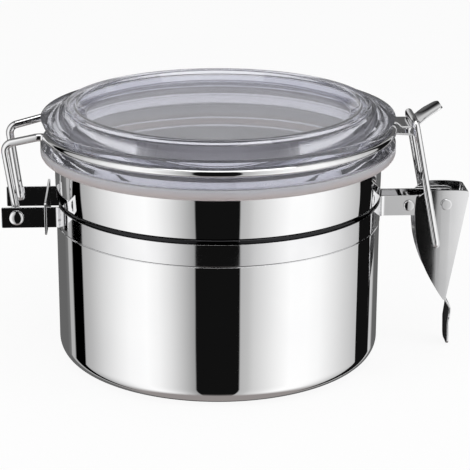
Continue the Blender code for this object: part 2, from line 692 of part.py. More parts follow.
def lever_point(share_x, share_z):
    reach = LEVER_OUTBOARD if share_x > 0 else LEVER_INBOARD
    height = LEVER_ABOVE_PIVOT if share_z > 0 else LEVER_BELOW_PIVOT
    return Vector((PIVOT_OUT + share_x * reach, PIVOT_HEIGHT + share_z * height))


def latch_lever(parts, cutters, steel):
    """A pressed channel: two cheeks and an outer web that runs on down as the finger tail."""
    top = [lever_point(*shares) for shares in LEVER_TOP_SHARES]
    inboard = [lever_point(*shares) for shares in LEVER_INBOARD_SHARES]
    foot = lever_point(LEVER_FOOT_SHARE, -1.0)
    made = plate("latch_lever", [*top, *inboard, foot], 2 * LEVER_HALF, parts, steel)
    along = (foot - top[0]).normalized()
    inward = Vector((along.y, -along.x)) * LEVER_SHEET
    pocket = [
        top[0] + inward - along * OVERRUN * 2,
        foot + inward + along * OVERRUN,
        Vector((PIVOT_OUT - 2 * LEVER_INBOARD, foot.y - OVERRUN)),
        Vector((PIVOT_OUT - 2 * LEVER_INBOARD, top[0].y + 3 * OVERRUN)),
    ]
    boolean(made, plate("lever_pocket", pocket, 2 * LEVER_INNER_HALF, cutters))
    path = [Vector((PIVOT_OUT + x * LEVER_OUTBOARD, foot.y - z * TAIL_DROP)) for x, z in TAIL_SHARES]
    path = rounded(path, [TAIL_BEND_RADIUS] * (len(path) - 2))
    tail = plate("lever_tail", ribbon(path, TAIL_SHEET), TAIL_WIDTH, cutters)
    end = TAIL_END_RADIUS
    corners = [(TAIL_WIDTH / 2, foot.y + OVERRUN, end), (-TAIL_WIDTH / 2, foot.y + OVERRUN, end)]
    corners += [(-TAIL_WIDTH / 2, TAIL_OFF_FLOOR, end), (TAIL_WIDTH / 2, TAIL_OFF_FLOOR, end)]
    shape = plate("tail_end", rounded_box(corners), 2 * PIVOT_OUT, cutters)
    shape.rotation_euler = (math.radians(90), 0, math.radians(90))
    shape.location = (PIVOT_OUT, 0, 0)
    boolean(tail, shape, "INTERSECT")
    boolean(made, tail, "UNION")
    through = 2 * LEVER_HALF + OVERRUN
    pivot = (PIVOT_OUT, 0, PIVOT_HEIGHT)
    boolean(made, rod("lever_pivot_hole", pivot, PIN_RADIUS + RUNNING, through, cutters))
    boolean(made, rod("lever_bail_hole", BAIL_HOLE, BAIL_WIRE / 2 + RUNNING, through, cutters))
    smooth(made)
    return made


def joint_empty(name, place, parts, pieces, parent=None):
    """An empty on the joint's axis, which carries the pieces that turn about it."""
    empty = bpy.data.objects.new(name, None)
    empty.empty_display_size = CAN_RADIUS / 4
    parts.objects.link(empty)
    empty.location = place
    if parent:
        empty.parent = parent
        empty.matrix_parent_inverse = Matrix.Translation(-parent.location)
    for piece in pieces:
        piece.parent = empty
        piece.matrix_parent_inverse = Matrix.Translation(-Vector(place))
    return empty


def main():
    clear_scene()
    parts = new_collection("airtight_canister")
    cutters = new_collection("cutters", hidden=True)
    mirror_steel = material("mirror_steel", (0.80, 0.80, 0.81), 1.0, 0.06)
    pressed_steel = material("pressed_steel", (0.74, 0.74, 0.75), 1.0, 0.12)
    wire_steel = material("wire_steel", (0.78, 0.78, 0.80), 1.0, 0.09)
    clear_plastic = material("clear_plastic", (0.86, 0.87, 0.91), 0.0, 0.04, 0.35)
    silicone = material("silicone", (0.80, 0.77, 0.77), 0.0, 0.35, 0.85)
    can_body(parts, mirror_steel)
    straps(parts, cutters, pressed_steel)
    ear_retainer(parts, cutters, pressed_steel)
    clamp_grip = BRACKET_SPREAD + STRAP_SHEET + 2 * RUNNING
    rivet(
        "clamp_rivet", (CLAMP_OUT, 0, PIN_HEIGHT), CLAMP_SHAFT_RADIUS, clamp_grip, CLAMP_HEAD_RADIUS,
        CLAMP_HEAD_HEIGHT, parts, pressed_steel,
    )
    clamp_spacer(parts, pressed_steel)
    lid = [
        lid_shell(parts, cutters, clear_plastic),
        lid_gasket(parts, silicone),
        lid_ring(parts, cutters, wire_steel),
        lid_catch(parts, cutters, pressed_steel),
    ]
    pin_grip = 2 * LEVER_HALF + 2 * RUNNING
    pin = rivet(
        "lever_pin", (PIVOT_OUT, 0, PIVOT_HEIGHT), PIN_RADIUS, pin_grip, PIN_HEAD_RADIUS, PIN_HEAD_HEIGHT,
        parts, pressed_steel,
    )
    lever = [latch_lever(parts, cutters, pressed_steel), pin]
    bail = [latch_bail(parts, wire_steel)]
    joint_empty("lid_hinge", (-HINGE_OUT, 0, PIN_HEIGHT), parts, lid)
    pivot = joint_empty("lever_pivot", (PIVOT_OUT, 0, PIVOT_HEIGHT), parts, lever)
    joint_empty("bail_pivot", tuple(BAIL_HOLE), parts, bail, pivot)


if __name__ == "__main__":
    main()
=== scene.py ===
"""Looks for a round airtight canister: steel can, clear lid, wire hinge and over-centre latch.

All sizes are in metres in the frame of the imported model: +Z is up from the table, the hinge is at -X,
the latch at +X, and the front of the can faces -Y.
"""

import logging
import math
from collections.abc import Callable, Iterable, Sequence
from dataclasses import dataclass, field
from enum import Enum

import bmesh
import bpy
from mathutils import Matrix, Vector


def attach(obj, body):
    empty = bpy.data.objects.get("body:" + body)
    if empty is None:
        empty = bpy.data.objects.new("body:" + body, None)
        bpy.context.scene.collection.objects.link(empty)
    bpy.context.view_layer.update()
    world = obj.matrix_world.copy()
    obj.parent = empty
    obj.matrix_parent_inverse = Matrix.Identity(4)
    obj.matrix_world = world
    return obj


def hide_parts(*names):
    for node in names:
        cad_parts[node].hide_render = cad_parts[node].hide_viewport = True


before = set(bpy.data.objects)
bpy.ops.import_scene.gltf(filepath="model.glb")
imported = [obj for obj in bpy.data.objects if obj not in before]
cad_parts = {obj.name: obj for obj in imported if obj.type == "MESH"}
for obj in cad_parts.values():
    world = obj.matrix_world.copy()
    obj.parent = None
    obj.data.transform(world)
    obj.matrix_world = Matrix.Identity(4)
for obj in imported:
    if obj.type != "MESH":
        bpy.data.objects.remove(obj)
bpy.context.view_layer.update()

LOG = logging.getLogger("canister")
MM = 0.001
MERGE = 0.002 * MM
NOISE_RANGE = (0.3, 0.7)

Pair = tuple[float, float]
Triple = tuple[float, float, float]
Colour = Triple
Piece = bpy.types.Object
Shape = bmesh.types.BMesh
Edge = bmesh.types.BMEdge
Vert = bmesh.types.BMVert
Socket = bpy.types.NodeSocket
Stops = Sequence[tuple[float, Colour]]

UP = Vector((0, 0, 1))
ACROSS = Vector((0, 1, 0))
OUT = Vector((1, 0, 0))


class Grain(Enum):
    """Which way a finish's fine polishing lines run."""

    SPUN = "round the can's axis"
    ROLLED = "level, along the strip"
    DRAWN = "along the wire"


class Section(Enum):
    """The cross-sections that are swept along a path."""

    WIRE = "round wire"
    STRIP = "flat strip with eased edges"


class Nodes:
    """A material's node tree, with short calls for what the finishes share."""

    def __init__(self, name: str) -> None:
        """Starts an empty tree that holds one Principled shader.

        Args:
            name: The material's name.
        """
        self.material = bpy.data.materials.new(name)
        self.material.use_nodes = True
        self.tree = self.material.node_tree
        self.shader = self.tree.nodes["Principled BSDF"]

    def add(self, kind: str, **sockets: object) -> bpy.types.Node:
        """Adds a node and sets its input sockets.

        Args:
            kind: The node's type without the ShaderNode prefix.
            **sockets: Values, or outputs to link, by the socket's name with _ for a space.

        Returns:
            The new node.
        """
        node = self.tree.nodes.new(f"ShaderNode{kind}")
        for name, value in sockets.items():
            self.feed(node, name.replace("_", " "), value)
        return node

    def feed(self, node: bpy.types.Node, socket: str, value: object) -> None:
        """Sets one input socket to a value, or links it from an output.

        Args:
            node: The node that owns the socket.
            socket: The socket's name.
            value: A number, a vector, a colour or an output socket.
        """
        self.join(node.inputs[socket], value)

    def join(self, socket: Socket, value: object) -> None:
        """Links a value to an input where it is an output, and otherwise sets it."""
        if isinstance(value, Socket):
            self.tree.links.new(value, socket)
        else:
            socket.default_value = value

    def math(self, operation: str, first: object, second: object = 0.0) -> Socket:
        """Adds a Math node.

        Args:
            operation: The node's operation.
            first: A number or an output.
            second: A number or an output.

        Returns:
            The node's output.
        """
        node = self.tree.nodes.new("ShaderNodeMath")
        node.operation = operation
        for socket, value in zip(node.inputs, (first, second)):
            self.join(socket, value)
        return node.outputs[0]

    def noise(self, place: Socket, scale: float, detail: float = 2.0) -> Socket:
        """A noise's grey output, about a half on average; the scale is in cells in a metre."""
        return self.add("TexNoise", Vector=place, Scale=scale, Detail=detail).outputs["Fac"]

    def between(self, grey: Socket, low: float, high: float) -> Socket:
        """Maps the middle of a noise's range to a range of values.

        Args:
            grey: The noise's output.
            low: The value at the low end of the noise's range.
            high: The value at its high end.

        Returns:
            The mapped output.
        """
        node = self.add("MapRange", Value=grey)
        for socket, value in zip(node.inputs[1:5], (*NOISE_RANGE, low, high)):
            socket.default_value = value
        return node.outputs["Result"]

    def ramp(self, grey: Socket, stops: Stops) -> Socket:
        """Colours a grey by a ramp.

        Args:
            grey: The output that the ramp reads.
            stops: Values from the lowest up, and the colour there.

        Returns:
            The colour output.
        """
        node = self.add("ValToRGB", Fac=grey)
        ramp = node.color_ramp
        for element, (where, colour) in zip(ramp.elements, (stops[0], stops[-1])):
            element.position, element.color = where, (*colour, 1)
        for where, colour in stops[1:-1]:
            ramp.elements.new(where).color = (*colour, 1)
        return node.outputs["Color"]

    def tint(self, grey: Socket, dark: Colour, light: Colour) -> Socket:
        """Mixes two colours by a noise."""
        return self.ramp(grey, tuple(zip(NOISE_RANGE, (dark, light))))

    def blend(self, share: Socket, first: object, second: object) -> Socket:
        """Blends two colours.

        Args:
            share: How much of the second shows.
            first: A colour or an output.
            second: A colour or an output.

        Returns:
            The colour output.
        """
        node = self.tree.nodes.new("ShaderNodeMix")
        node.data_type = "RGBA"
        sockets = [socket for socket in node.inputs if socket.enabled]
        for socket, value in zip(sockets, (share, first, second)):
            self.join(socket, value)
        return next(socket for socket in node.outputs if socket.enabled)

    def bump(self, height: Socket, depth: float, below: object = None) -> Socket:
        """Adds a Bump node.

        Args:
            height: The grey height.
            depth: The height of a full step, in metres.
            below: The normal of a bump that this one lies on.

        Returns:
            The normal output.
        """
        node = self.add("Bump", Height=height, Distance=depth, Strength=1.0)
        if below is not None:
            self.feed(node, "Normal", below)
        return node.outputs["Normal"]

    def bands(self, place: Socket, base: Colour, stops: Stops) -> Socket:
        """Colours a wall by height.

        Args:
            place: The coordinates, in metres.
            base: The colour at the foot.
            stops: Heights, from the lowest up, and the colour there.

        Returns:
            The colour output.
        """
        top = stops[-1][0]
        height = self.math("DIVIDE", self.add("SeparateXYZ", Vector=place).outputs["Z"], top)
        return self.ramp(height, ((0.0, base), *((where / top, colour) for where, colour in stops)))

    def surface(self, node: bpy.types.Node) -> None:
        """Shows a node's shader on the surface."""
        self.feed(self.tree.nodes["Material Output"], "Surface", node.outputs[0])

    def attribute(self, name: str, output: str = "Fac") -> Socket:
        """A vertex attribute of the piece, as a grey or as a colour."""
        node = self.add("Attribute")
        node.attribute_name = name
        return node.outputs[output]

    def complete(self, sockets: dict[str, object]) -> bpy.types.Material:
        """The material, with the shader's inputs set."""
        for name, value in sockets.items():
            self.feed(self.shader, name, value)
        return self.material

    def object_place(self) -> Socket:
        """The place on the piece, in metres."""
        return self.add("TexCoord").outputs["Object"]

    def stretched(self, place: Socket, scale: Triple) -> Socket:
        """Scales coordinates by a factor on each axis."""
        return self.add("Mapping", Vector=place, Scale=scale).outputs["Vector"]

    def round_place(self) -> Socket:
        """Distance from the can's axis and height, so that what reads it runs in rings."""
        parts = self.add("SeparateXYZ", Vector=self.object_place())
        across = self.math("MULTIPLY", parts.outputs["X"], parts.outputs["X"])
        along = self.math("MULTIPLY", parts.outputs["Y"], parts.outputs["Y"])
        radius = self.math("SQRT", self.math("ADD", across, along))
        return self.add("CombineXYZ", X=radius, Z=parts.outputs["Z"]).outputs["Vector"]


@dataclass(frozen=True)
class Steel:
    """Bright stainless steel: polishing lines, faint smudges and the slight waves of pressed sheet, with
    painted light and shade where a piece marks its inside and its groove.
    """

    name: str
    slot: str
    dark: Colour
    light: Colour
    roughness: Pair
    grain: Grain
    line_scale: float = 2600.0
    line_depth: float = 0.0006 * MM
    wave_scale: float = 45.0
    wave_depth: float = 0.03 * MM
    smudge_detail: float = 5.0
    stretch: Triple = (0.02, 0.02, 1.0)
    satin: float = 0.0
    haze: float = 0.6
    # Painted light: the inside wall's colour at its foot, where its painted height bands start.
    painted_inside_foot: Colour = (0.74, 0.72, 0.72)
    # Painted shade: the dark colour that the can's neck groove is painted.
    painted_groove_shade: Colour = (0.035, 0.035, 0.037)
    # Painted light: height bands for the inside wall, of painted shade, painted highlight rings and warm and
    # cool painted reflections.
    painted_inside_light: Stops = ()

    def lines(self, nodes: Nodes, place: Socket) -> Socket:
        """The noise of the fine polishing lines."""
        if self.grain is Grain.SPUN:
            return nodes.noise(nodes.round_place(), self.line_scale)
        course = place if self.grain is Grain.ROLLED else nodes.add("TexCoord").outputs["UV"]
        return nodes.noise(nodes.stretched(course, self.stretch), self.line_scale)

    def material(self) -> bpy.types.Material:
        """Builds the finish's material."""
        nodes = Nodes(self.name)
        place = nodes.object_place()
        smudges = nodes.noise(place, self.wave_scale, self.smudge_detail)
        colour = nodes.tint(smudges, self.dark, self.light)
        roughness = nodes.between(smudges, *self.roughness)
        metal = 1.0
        if self.satin:
            share = nodes.attribute("Inside")
            # The inside wall's colour is painted light and shade by height.
            colour = nodes.blend(share, colour, nodes.bands(place, self.painted_inside_foot, self.painted_inside_light))
            roughness = nodes.math("ADD", roughness, nodes.math("MULTIPLY", share, self.satin))
            # Painted shade darkens the steel in the neck groove.
            colour = nodes.blend(nodes.attribute("GrooveShade"), colour, (*self.painted_groove_shade, 1))
            metal = nodes.math("SUBTRACT", 1.0, nodes.math("MULTIPLY", share, self.haze))
        waves = nodes.bump(nodes.noise(place, self.wave_scale, 0.0), self.wave_depth)
        return nodes.complete({
            "Base Color": colour,
            "Metallic": metal,
            "Roughness": roughness,
            "Normal": nodes.bump(self.lines(nodes, place), self.line_depth, waves),
        })


@dataclass(frozen=True)
class ClearPlastic:
    """Clear moulded plastic with a slight violet tint, flow marks and fine wear."""

    name: str = "clear_plastic"
    slot: str = "clear_plastic"
    dark: Colour = (0.77, 0.775, 0.84)
    light: Colour = (0.81, 0.815, 0.87)
    ior: float = 1.49
    clearness: float = 0.95
    roughness: Pair = (0.0, 0.025)
    flow_scale: float = 30.0
    flow_depth: float = 0.05 * MM
    wear_scale: float = 220.0
    wear_detail: float = 6.0
    ring_scale: float = 900.0
    ring_depth: float = 0.0008 * MM

    def material(self) -> bpy.types.Material:
        """Builds the finish's material."""
        nodes = Nodes(self.name)
        place = nodes.object_place()
        flow = nodes.noise(place, self.flow_scale, 1.0)
        wear = nodes.noise(place, self.wear_scale, self.wear_detail)
        rings = nodes.noise(nodes.round_place(), self.ring_scale)
        return nodes.complete({
            "Base Color": nodes.tint(flow, self.dark, self.light),
            "Transmission Weight": self.clearness,
            "IOR": self.ior,
            "Roughness": nodes.between(wear, *self.roughness),
            "Normal": nodes.bump(rings, self.ring_depth, nodes.bump(flow, self.flow_depth)),
        })


@dataclass(frozen=True)
class Silicone:
    """Milky translucent silicone rubber with a satin skin."""

    name: str = "silicone"
    slot: str = "silicone"
    dark: Colour = (0.72, 0.655, 0.65)
    light: Colour = (0.76, 0.76, 0.80)
    foot: float = 80.6 * MM
    top: float = 84.4 * MM
    ior: float = 1.41
    clearness: float = 0.5
    roughness: Pair = (0.28, 0.38)
    cloud_scale: float = 70.0
    cloud_detail: float = 3.0
    cloud_share: float = 0.3
    skin_scale: float = 2400.0
    skin_depth: float = 0.004 * MM

    def material(self) -> bpy.types.Material:
        """Builds the finish's material."""
        nodes = Nodes(self.name)
        place = nodes.object_place()
        cloud = nodes.noise(place, self.cloud_scale, self.cloud_detail)
        skin = nodes.noise(place, self.skin_scale)
        height = nodes.add("SeparateXYZ", Vector=place).outputs["Z"]
        depth = nodes.math("DIVIDE", nodes.math("SUBTRACT", height, self.foot), self.top - self.foot)
        plain = nodes.math("MULTIPLY", depth, 1.0 - self.cloud_share)
        mottled = nodes.math("ADD", plain, nodes.math("MULTIPLY", cloud, self.cloud_share))
        return nodes.complete({
            "Base Color": nodes.tint(mottled, self.dark, self.light),
            "Transmission Weight": self.clearness,
            "IOR": self.ior,
            "Roughness": nodes.between(cloud, *self.roughness),
            "Normal": nodes.bump(skin, self.skin_depth),
        })


# Colours of painted light inside the can: a warm painted reflection, white painted highlight rings and a
# cool painted reflection.
WARM_PAINTED_REFLECTION: Colour = (1.0, 0.80, 0.74)
PAINTED_HIGHLIGHT_RING: Colour = (1.0, 1.0, 1.0)
COOL_PAINTED_REFLECTION: Colour = (0.88, 0.88, 0.91)
MIRROR = Steel(
    "mirror_steel", "mirror_steel", (0.925, 0.925, 0.93), (0.95, 0.95, 0.95), (0.01, 0.035), Grain.SPUN,
    satin=0.40,
    # Painted light by height inside the can: painted shade low on the wall, white painted highlight rings on
    # the drawing ridges, a warm painted reflection between them and a cool one above.
    painted_inside_light=(
        (67.0 * MM, (0.30, 0.30, 0.31)), (71.1 * MM, (0.26, 0.26, 0.28)), (71.2 * MM, PAINTED_HIGHLIGHT_RING),
        (71.8 * MM, PAINTED_HIGHLIGHT_RING), (71.9 * MM, (0.74, 0.62, 0.58)), (73.0 * MM, WARM_PAINTED_REFLECTION), (74.8 * MM, WARM_PAINTED_REFLECTION),
        (74.9 * MM, PAINTED_HIGHLIGHT_RING), (75.5 * MM, PAINTED_HIGHLIGHT_RING), (75.6 * MM, (0.70, 0.61, 0.59)), (78.0 * MM, COOL_PAINTED_REFLECTION),
        (83.5 * MM, COOL_PAINTED_REFLECTION),
    ),
)
PRESSED = Steel(
    "pressed_steel", "pressed_steel", (0.86, 0.86, 0.87), (0.91, 0.91, 0.915), (0.04, 0.09), Grain.ROLLED,
    line_depth=0.0012 * MM, wave_scale=90.0, wave_depth=0.02 * MM,
)
SATIN = Steel(
    "satin_steel", "pressed_steel", (0.84, 0.84, 0.85), (0.90, 0.90, 0.905), (0.11, 0.14), Grain.ROLLED,
    line_depth=0.0016 * MM, wave_scale=90.0, wave_depth=0.02 * MM,
)
WIRE = Steel(
    "wire_steel", "wire_steel", (0.88, 0.88, 0.885), (0.92, 0.92, 0.925), (0.03, 0.07), Grain.DRAWN,
    line_depth=0.0010 * MM, wave_scale=160.0, wave_depth=0.01 * MM,
)
PLASTIC = ClearPlastic()
RUBBER = Silicone()
Finish = Steel | ClearPlastic | Silicone


def arc(centre: Pair, radius: float, start: float, end: float, count: int) -> list[Pair]:
    """Points of an arc, ends included.

    Args:
        centre: The arc's centre.
        radius: Its radius.
        start: The first angle, in degrees.
        end: The last angle, in degrees.
        count: The number of steps.

    Returns:
        The points.
    """
    angles = (math.radians(start + (end - start) * i / count) for i in range(count + 1))
    return [(centre[0] + radius * math.cos(a), centre[1] + radius * math.sin(a)) for a in angles]


def rounded(points: Sequence[Sequence[float]], radii: Sequence[float], step: float = 7.0) -> list[Vector]:
    """Rounds a path's inner corners.

    Args:
        points: The path's corners.
        radii: The radius at each inner corner; zero leaves it sharp.
        step: The largest turn between two points, in degrees.

    Returns:
        The path's points.
    """
    path = [Vector(points[0])]
    for before, corner, after, radius in zip(points, points[1:], points[2:], radii):
        here = Vector(corner)
        if radius <= 0:
            path.append(here)
            continue
        into = (here - Vector(before)).normalized()
        away = (Vector(after) - here).normalized()
        turn = into.angle(away)
        start = here - into * radius * math.tan(turn / 2)
        side = (away - into * into.dot(away)).normalized()
        centre = start + side * radius
        count = max(2, math.ceil(math.degrees(turn) / step))
        for i in range(count + 1):
            a = turn * i / count
            path.append(centre - side * radius * math.cos(a) + into * radius * math.sin(a))
    path.append(Vector(points[-1]))
    return path


def lathe(
    profile: Sequence[Sequence[float]],
    steps: int,
    closed: bool = False,
    inside: int = 0,
    shaded_groove: Pair = (0.0, 0.0),
) -> Shape:
    """Turns a profile about Z.

    Args:
        profile: Distances from the axis and heights.
        steps: Steps in the full turn.
        closed: Whether the profile's last point joins its first.
        inside: How many of its first points lie inside the piece, told by its Inside attribute.
        shaded_groove: The heights between which its outer points lie in a groove, told by Recess, where the
            finish paints shade.

    Returns:
        The turned shape, closed and facing out.
    """
    shape = bmesh.new()
    inner = shape.verts.layers.float.new("Inside")
    groove_shade_layer = shape.verts.layers.float.new("GrooveShade")
    verts = [shape.verts.new((x, 0, z)) for x, z in profile]
    for vert in verts[:inside]:
        vert[inner] = 1.0
    # Marks the groove, where the finish paints shade.
    for vert in verts[inside:]:
        vert[groove_shade_layer] = float(shaded_groove[0] < vert.co.z < shaded_groove[1])
    pairs = list(zip(verts, verts[1:])) + ([(verts[-1], verts[0])] if closed else [])
    edges = [shape.edges.new(pair) for pair in pairs]
    bmesh.ops.spin(
        shape, geom=verts + edges, cent=(0, 0, 0), axis=(0, 0, 1), dvec=(0, 0, 0), angle=math.tau,
        steps=steps, use_merge=True, use_duplicate=False,
    )
    bmesh.ops.remove_doubles(shape, verts=shape.verts, dist=MERGE)
    bmesh.ops.recalc_face_normals(shape, faces=shape.faces)
    return shape


def across_y(shape: Shape, place: Sequence[float]) -> Shape:
    """Lays a turned shape along Y and moves it to its place."""
    turn = Matrix.Rotation(math.radians(90), 4, "X")
    bmesh.ops.transform(shape, matrix=Matrix.Translation(place) @ turn, verts=shape.verts)
    return shape


def extruded(outline: Iterable[Sequence[float]], half: float) -> Shape:
    """A flat outline in X and Z, given thickness to both sides of y = 0.

    Args:
        outline: The corners, in order.
        half: Half the thickness.

    Returns:
        The closed shape.
    """
    shape = bmesh.new()
    face = shape.faces.new([shape.verts.new((p[0], -half, p[1])) for p in outline])
    made = bmesh.ops.extrude_face_region(shape, geom=[face])
    moved = [item for item in made["geom"] if isinstance(item, Vert)]
    bmesh.ops.translate(shape, vec=(0, 2 * half, 0), verts=moved)
    bmesh.ops.recalc_face_normals(shape, faces=shape.faces)
    return shape


def ease(shape: Shape, chosen: Callable[[Edge], bool], radius: float, segments: int) -> None:
    """Rounds the chosen edges of a shape.

    Args:
        shape: The shape.
        chosen: Says whether an edge is rounded.
        radius: The bevel's width.
        segments: Its steps.
    """
    edges = [edge for edge in shape.edges if chosen(edge)]
    bmesh.ops.bevel(
        shape, geom=edges, offset=radius, segments=segments, profile=0.5, affect="EDGES", material=-1,
        offset_type="OFFSET", clamp_overlap=True,
    )


@dataclass
class Station:
    """One ring of a swept shape: its place, the path's direction, and the section's two half sizes."""

    place: Vector
    along: Vector
    width: float
    height: float


def section_outline(kind: Section, easing: float = 0.25, bulge: float = 0.1) -> list[Pair]:
    """The unit outline of a section, which a station's half sizes scale.

    Args:
        kind: The section.
        easing: The share of the thickness that a strip's rounded edge takes.
        bulge: How far that edge reaches out, as a share of a full round.

    Returns:
        The outline's points, anticlockwise.
    """
    if kind is Section.WIRE:
        return arc((0, 0), 1.0, 0, 345, 23)
    corner = 1.0 - easing
    points: list[Pair] = []
    for quarter, (x, y) in enumerate(((1, 1), (-1, 1), (-1, -1), (1, -1))):
        for u, v in arc((0, 0), easing, 90 * quarter, 90 * quarter + 90, 3):
            points.append((x * corner + u, y + (v - y * easing) * bulge))
    return points


def sweep(stations: Sequence[Station], kind: Section, up: Vector) -> Shape:
    """Carries a section through its stations, and writes the distance along it to a UV map.

    Args:
        stations: The rings, in order.
        kind: The section's shape.
        up: The direction of the section's height at the first station.

    Returns:
        The closed shape.
    """
    shape = bmesh.new()
    lengthwise = shape.loops.layers.uv.new("Along")
    outline = section_outline(kind)
    first = [shape.verts.new((x, y, 0)) for x, y in outline]
    ring = {vert: i for i, vert in enumerate(first)}
    edges = [shape.edges.new((a, b)) for a, b in zip(first, first[1:] + first[:1])]
    caps = [shape.faces.new(first)]
    along = stations[0].along
    side = up.cross(along).normalized()
    turn = Matrix((side, along.cross(side), along)).transposed()
    placed = Matrix.Identity(4)
    travelled = 0.0
    where = {}
    for i, station in enumerate(stations):
        turn = along.rotation_difference(station.along).to_matrix() @ turn
        along = station.along
        if i:
            travelled += (station.place - stations[i - 1].place).length
            grown = bmesh.ops.extrude_edge_only(shape, edges=edges)["geom"]
            fresh = [item for item in grown if isinstance(item, Vert)]
            ring = {
                vert: ring[edge.other_vert(vert)]
                for vert in fresh for edge in vert.link_edges if edge.other_vert(vert) in ring
            }
            edges = [
                item for item in grown
                if isinstance(item, Edge) and all(vert in ring for vert in item.verts)
            ]
        scale = Matrix.Diagonal((station.width, station.height, 1.0, 1.0))
        target = Matrix.Translation(station.place) @ turn.to_4x4() @ scale
        bmesh.ops.transform(shape, matrix=target @ placed.inverted(), verts=list(ring))
        placed = target
        where.update({vert: (index / len(outline), travelled) for vert, index in ring.items()})
    caps.append(shape.faces.new(sorted(ring, key=ring.get)))
    for face in shape.faces:
        spots = [where[loop.vert] for loop in face.loops]
        wraps = max(s[0] for s in spots) - min(s[0] for s in spots) > 0.5
        for loop, (around, distance) in zip(face.loops, spots):
            loop[lengthwise].uv = (around + (1.0 if wraps and around < 0.5 else 0.0), distance)
    bmesh.ops.recalc_face_normals(shape, faces=shape.faces)
    return shape


def directions(path: Sequence[Vector]) -> list[Vector]:
    """The direction of a path at each of its points."""
    ahead = [(b - a).normalized() for a, b in zip(path, path[1:])]
    middle = [(a + b).normalized() for a, b in zip(ahead, ahead[1:])]
    return [ahead[0], *middle, ahead[-1]]


def without_repeats(path: Iterable[Vector], least: float = 0.01 * MM) -> list[Vector]:
    """Drops the points of a path that lie on the one before."""
    kept: list[Vector] = []
    for point in path:
        if not kept or (point - kept[-1]).length > least:
            kept.append(point)
    return kept


def resampled(path: Sequence[Vector], step: float) -> list[Vector]:
    """Adds points so that no two neighbours are further apart than a step."""
    dense = [path[0]]
    for a, b in zip(path, path[1:]):
        count = max(1, math.ceil((b - a).length / step))
        dense += [a.lerp(b, i / count) for i in range(1, count + 1)]
    return dense


def wire_stations(path: Sequence[Vector], radius: float, head: Sequence[Pair] = ()) -> list[Station]:
    """Stations of a round wire, with a turned head at each end.

    Args:
        path: The wire's middle line.
        radius: The wire's radius.
        head: Steps beyond the wire's end and radii there.

    Returns:
        The stations from the first head to the last.
    """
    points = without_repeats(path)
    stations = [Station(p, d, radius, radius) for p, d in zip(points, directions(points))]
    first, last = stations[0], stations[-1]
    start = [Station(first.place - first.along * s, first.along, r, r) for s, r in reversed(head)]
    end = [Station(last.place + last.along * s, last.along, r, r) for s, r in head]
    return start + stations + end


def strip_stations(
    path: Sequence[Vector], thickness: float, width: float, end_radii: Pair, end_width: float | None = None,
    taper_from: float = 0.0,
) -> list[Station]:
    """Stations of a flat strip, whose ends have rounded corners.

    Args:
        path: The strip's middle line.
        thickness: The sheet's thickness.
        width: The strip's width.
        end_radii: The corners' radius at the first and at the last end.
        end_width: The width at the last end, where the strip tapers.
        taper_from: The distance from the last end at which the taper starts.

    Returns:
        The stations.
    """
    points = without_repeats(path)
    lengths = [0.0]
    for a, b in zip(points, points[1:]):
        lengths.append(lengths[-1] + (b - a).length)
    total = lengths[-1]
    extra = {
        abs(edge - radius * (1 - math.sin(math.radians(a))))
        for edge, radius in ((0.0, end_radii[0]), (total, end_radii[1])) if radius
        for a in range(0, 90, 10)
    }
    stops = sorted(set(lengths) | extra)
    ways = directions(points)
    stations = []
    for stop in stops:
        i = max(k for k in range(len(lengths)) if lengths[k] <= stop + MERGE)
        i = min(i, len(points) - 2)
        share = (stop - lengths[i]) / (lengths[i + 1] - lengths[i])
        half = width / 2
        if end_width is not None and total - stop < taper_from:
            half -= (width - end_width) / 2 * (1 - (total - stop) / taper_from)
        for near, radius in ((stop, end_radii[0]), (total - stop, end_radii[1])):
            if near < radius:
                half -= radius - math.sqrt(max(radius**2 - (radius - near) ** 2, 0.0))
        place = points[i].lerp(points[i + 1], share)
        along = ways[i].lerp(ways[i + 1], share).normalized()
        stations.append(Station(place, along, thickness / 2, half))
    return stations


def object_from(shape: Shape, name: str) -> Piece:
    """Turns a bmesh into an object at the origin."""
    mesh = bpy.data.meshes.new(name)
    shape.to_mesh(mesh)
    shape.free()
    piece = bpy.data.objects.new(name, mesh)
    bpy.context.scene.collection.objects.link(piece)
    return piece


def cut(piece: Piece, tool: Shape, operation: str = "DIFFERENCE") -> None:
    """Cuts a piece by a shape, or joins the shape to it, and applies the result to the piece's mesh.

    Args:
        piece: The piece.
        tool: The other shape.
        operation: The Boolean's operation.
    """
    other = object_from(tool, "tool")
    modifier = piece.modifiers.new("Cut", "BOOLEAN")
    modifier.operation = operation
    modifier.object = other
    bpy.context.view_layer.update()
    evaluated = piece.evaluated_get(bpy.context.evaluated_depsgraph_get())
    mesh = bpy.data.meshes.new_from_object(evaluated)
    piece.modifiers.clear()
    piece.data = mesh
    bpy.data.objects.remove(other, do_unlink=True)


def rod(place: Sequence[float], radius: float, length: float, sides: int = 48) -> Shape:
    """A round rod along Y about its middle."""
    shape = bmesh.new()
    bmesh.ops.create_cone(
        shape, cap_ends=True, segments=sides, radius1=radius, radius2=radius, depth=length
    )
    return across_y(shape, place)


def block(low: Sequence[float], high: Sequence[float]) -> Shape:
    """A block between two corners."""
    shape = bmesh.new()
    bmesh.ops.create_cube(shape, size=1.0)
    bmesh.ops.scale(shape, vec=Vector(high) - Vector(low), verts=shape.verts)
    bmesh.ops.translate(shape, vec=(Vector(low) + Vector(high)) / 2, verts=shape.verts)
    return shape


def rounded_sheet_edges(piece: Piece, width: float, angle: float = 50.0) -> None:
    """Breaks a pressed piece's sharp edges and keeps its flat faces flat.

    Args:
        piece: The piece.
        width: The edges' radius.
        angle: The turn past which an edge is broken, in degrees.
    """
    bevel = piece.modifiers.new("Edges", "BEVEL")
    bevel.width = width
    bevel.segments = 2
    bevel.limit_method = "ANGLE"
    bevel.angle_limit = math.radians(angle)
    keep_flats(piece)


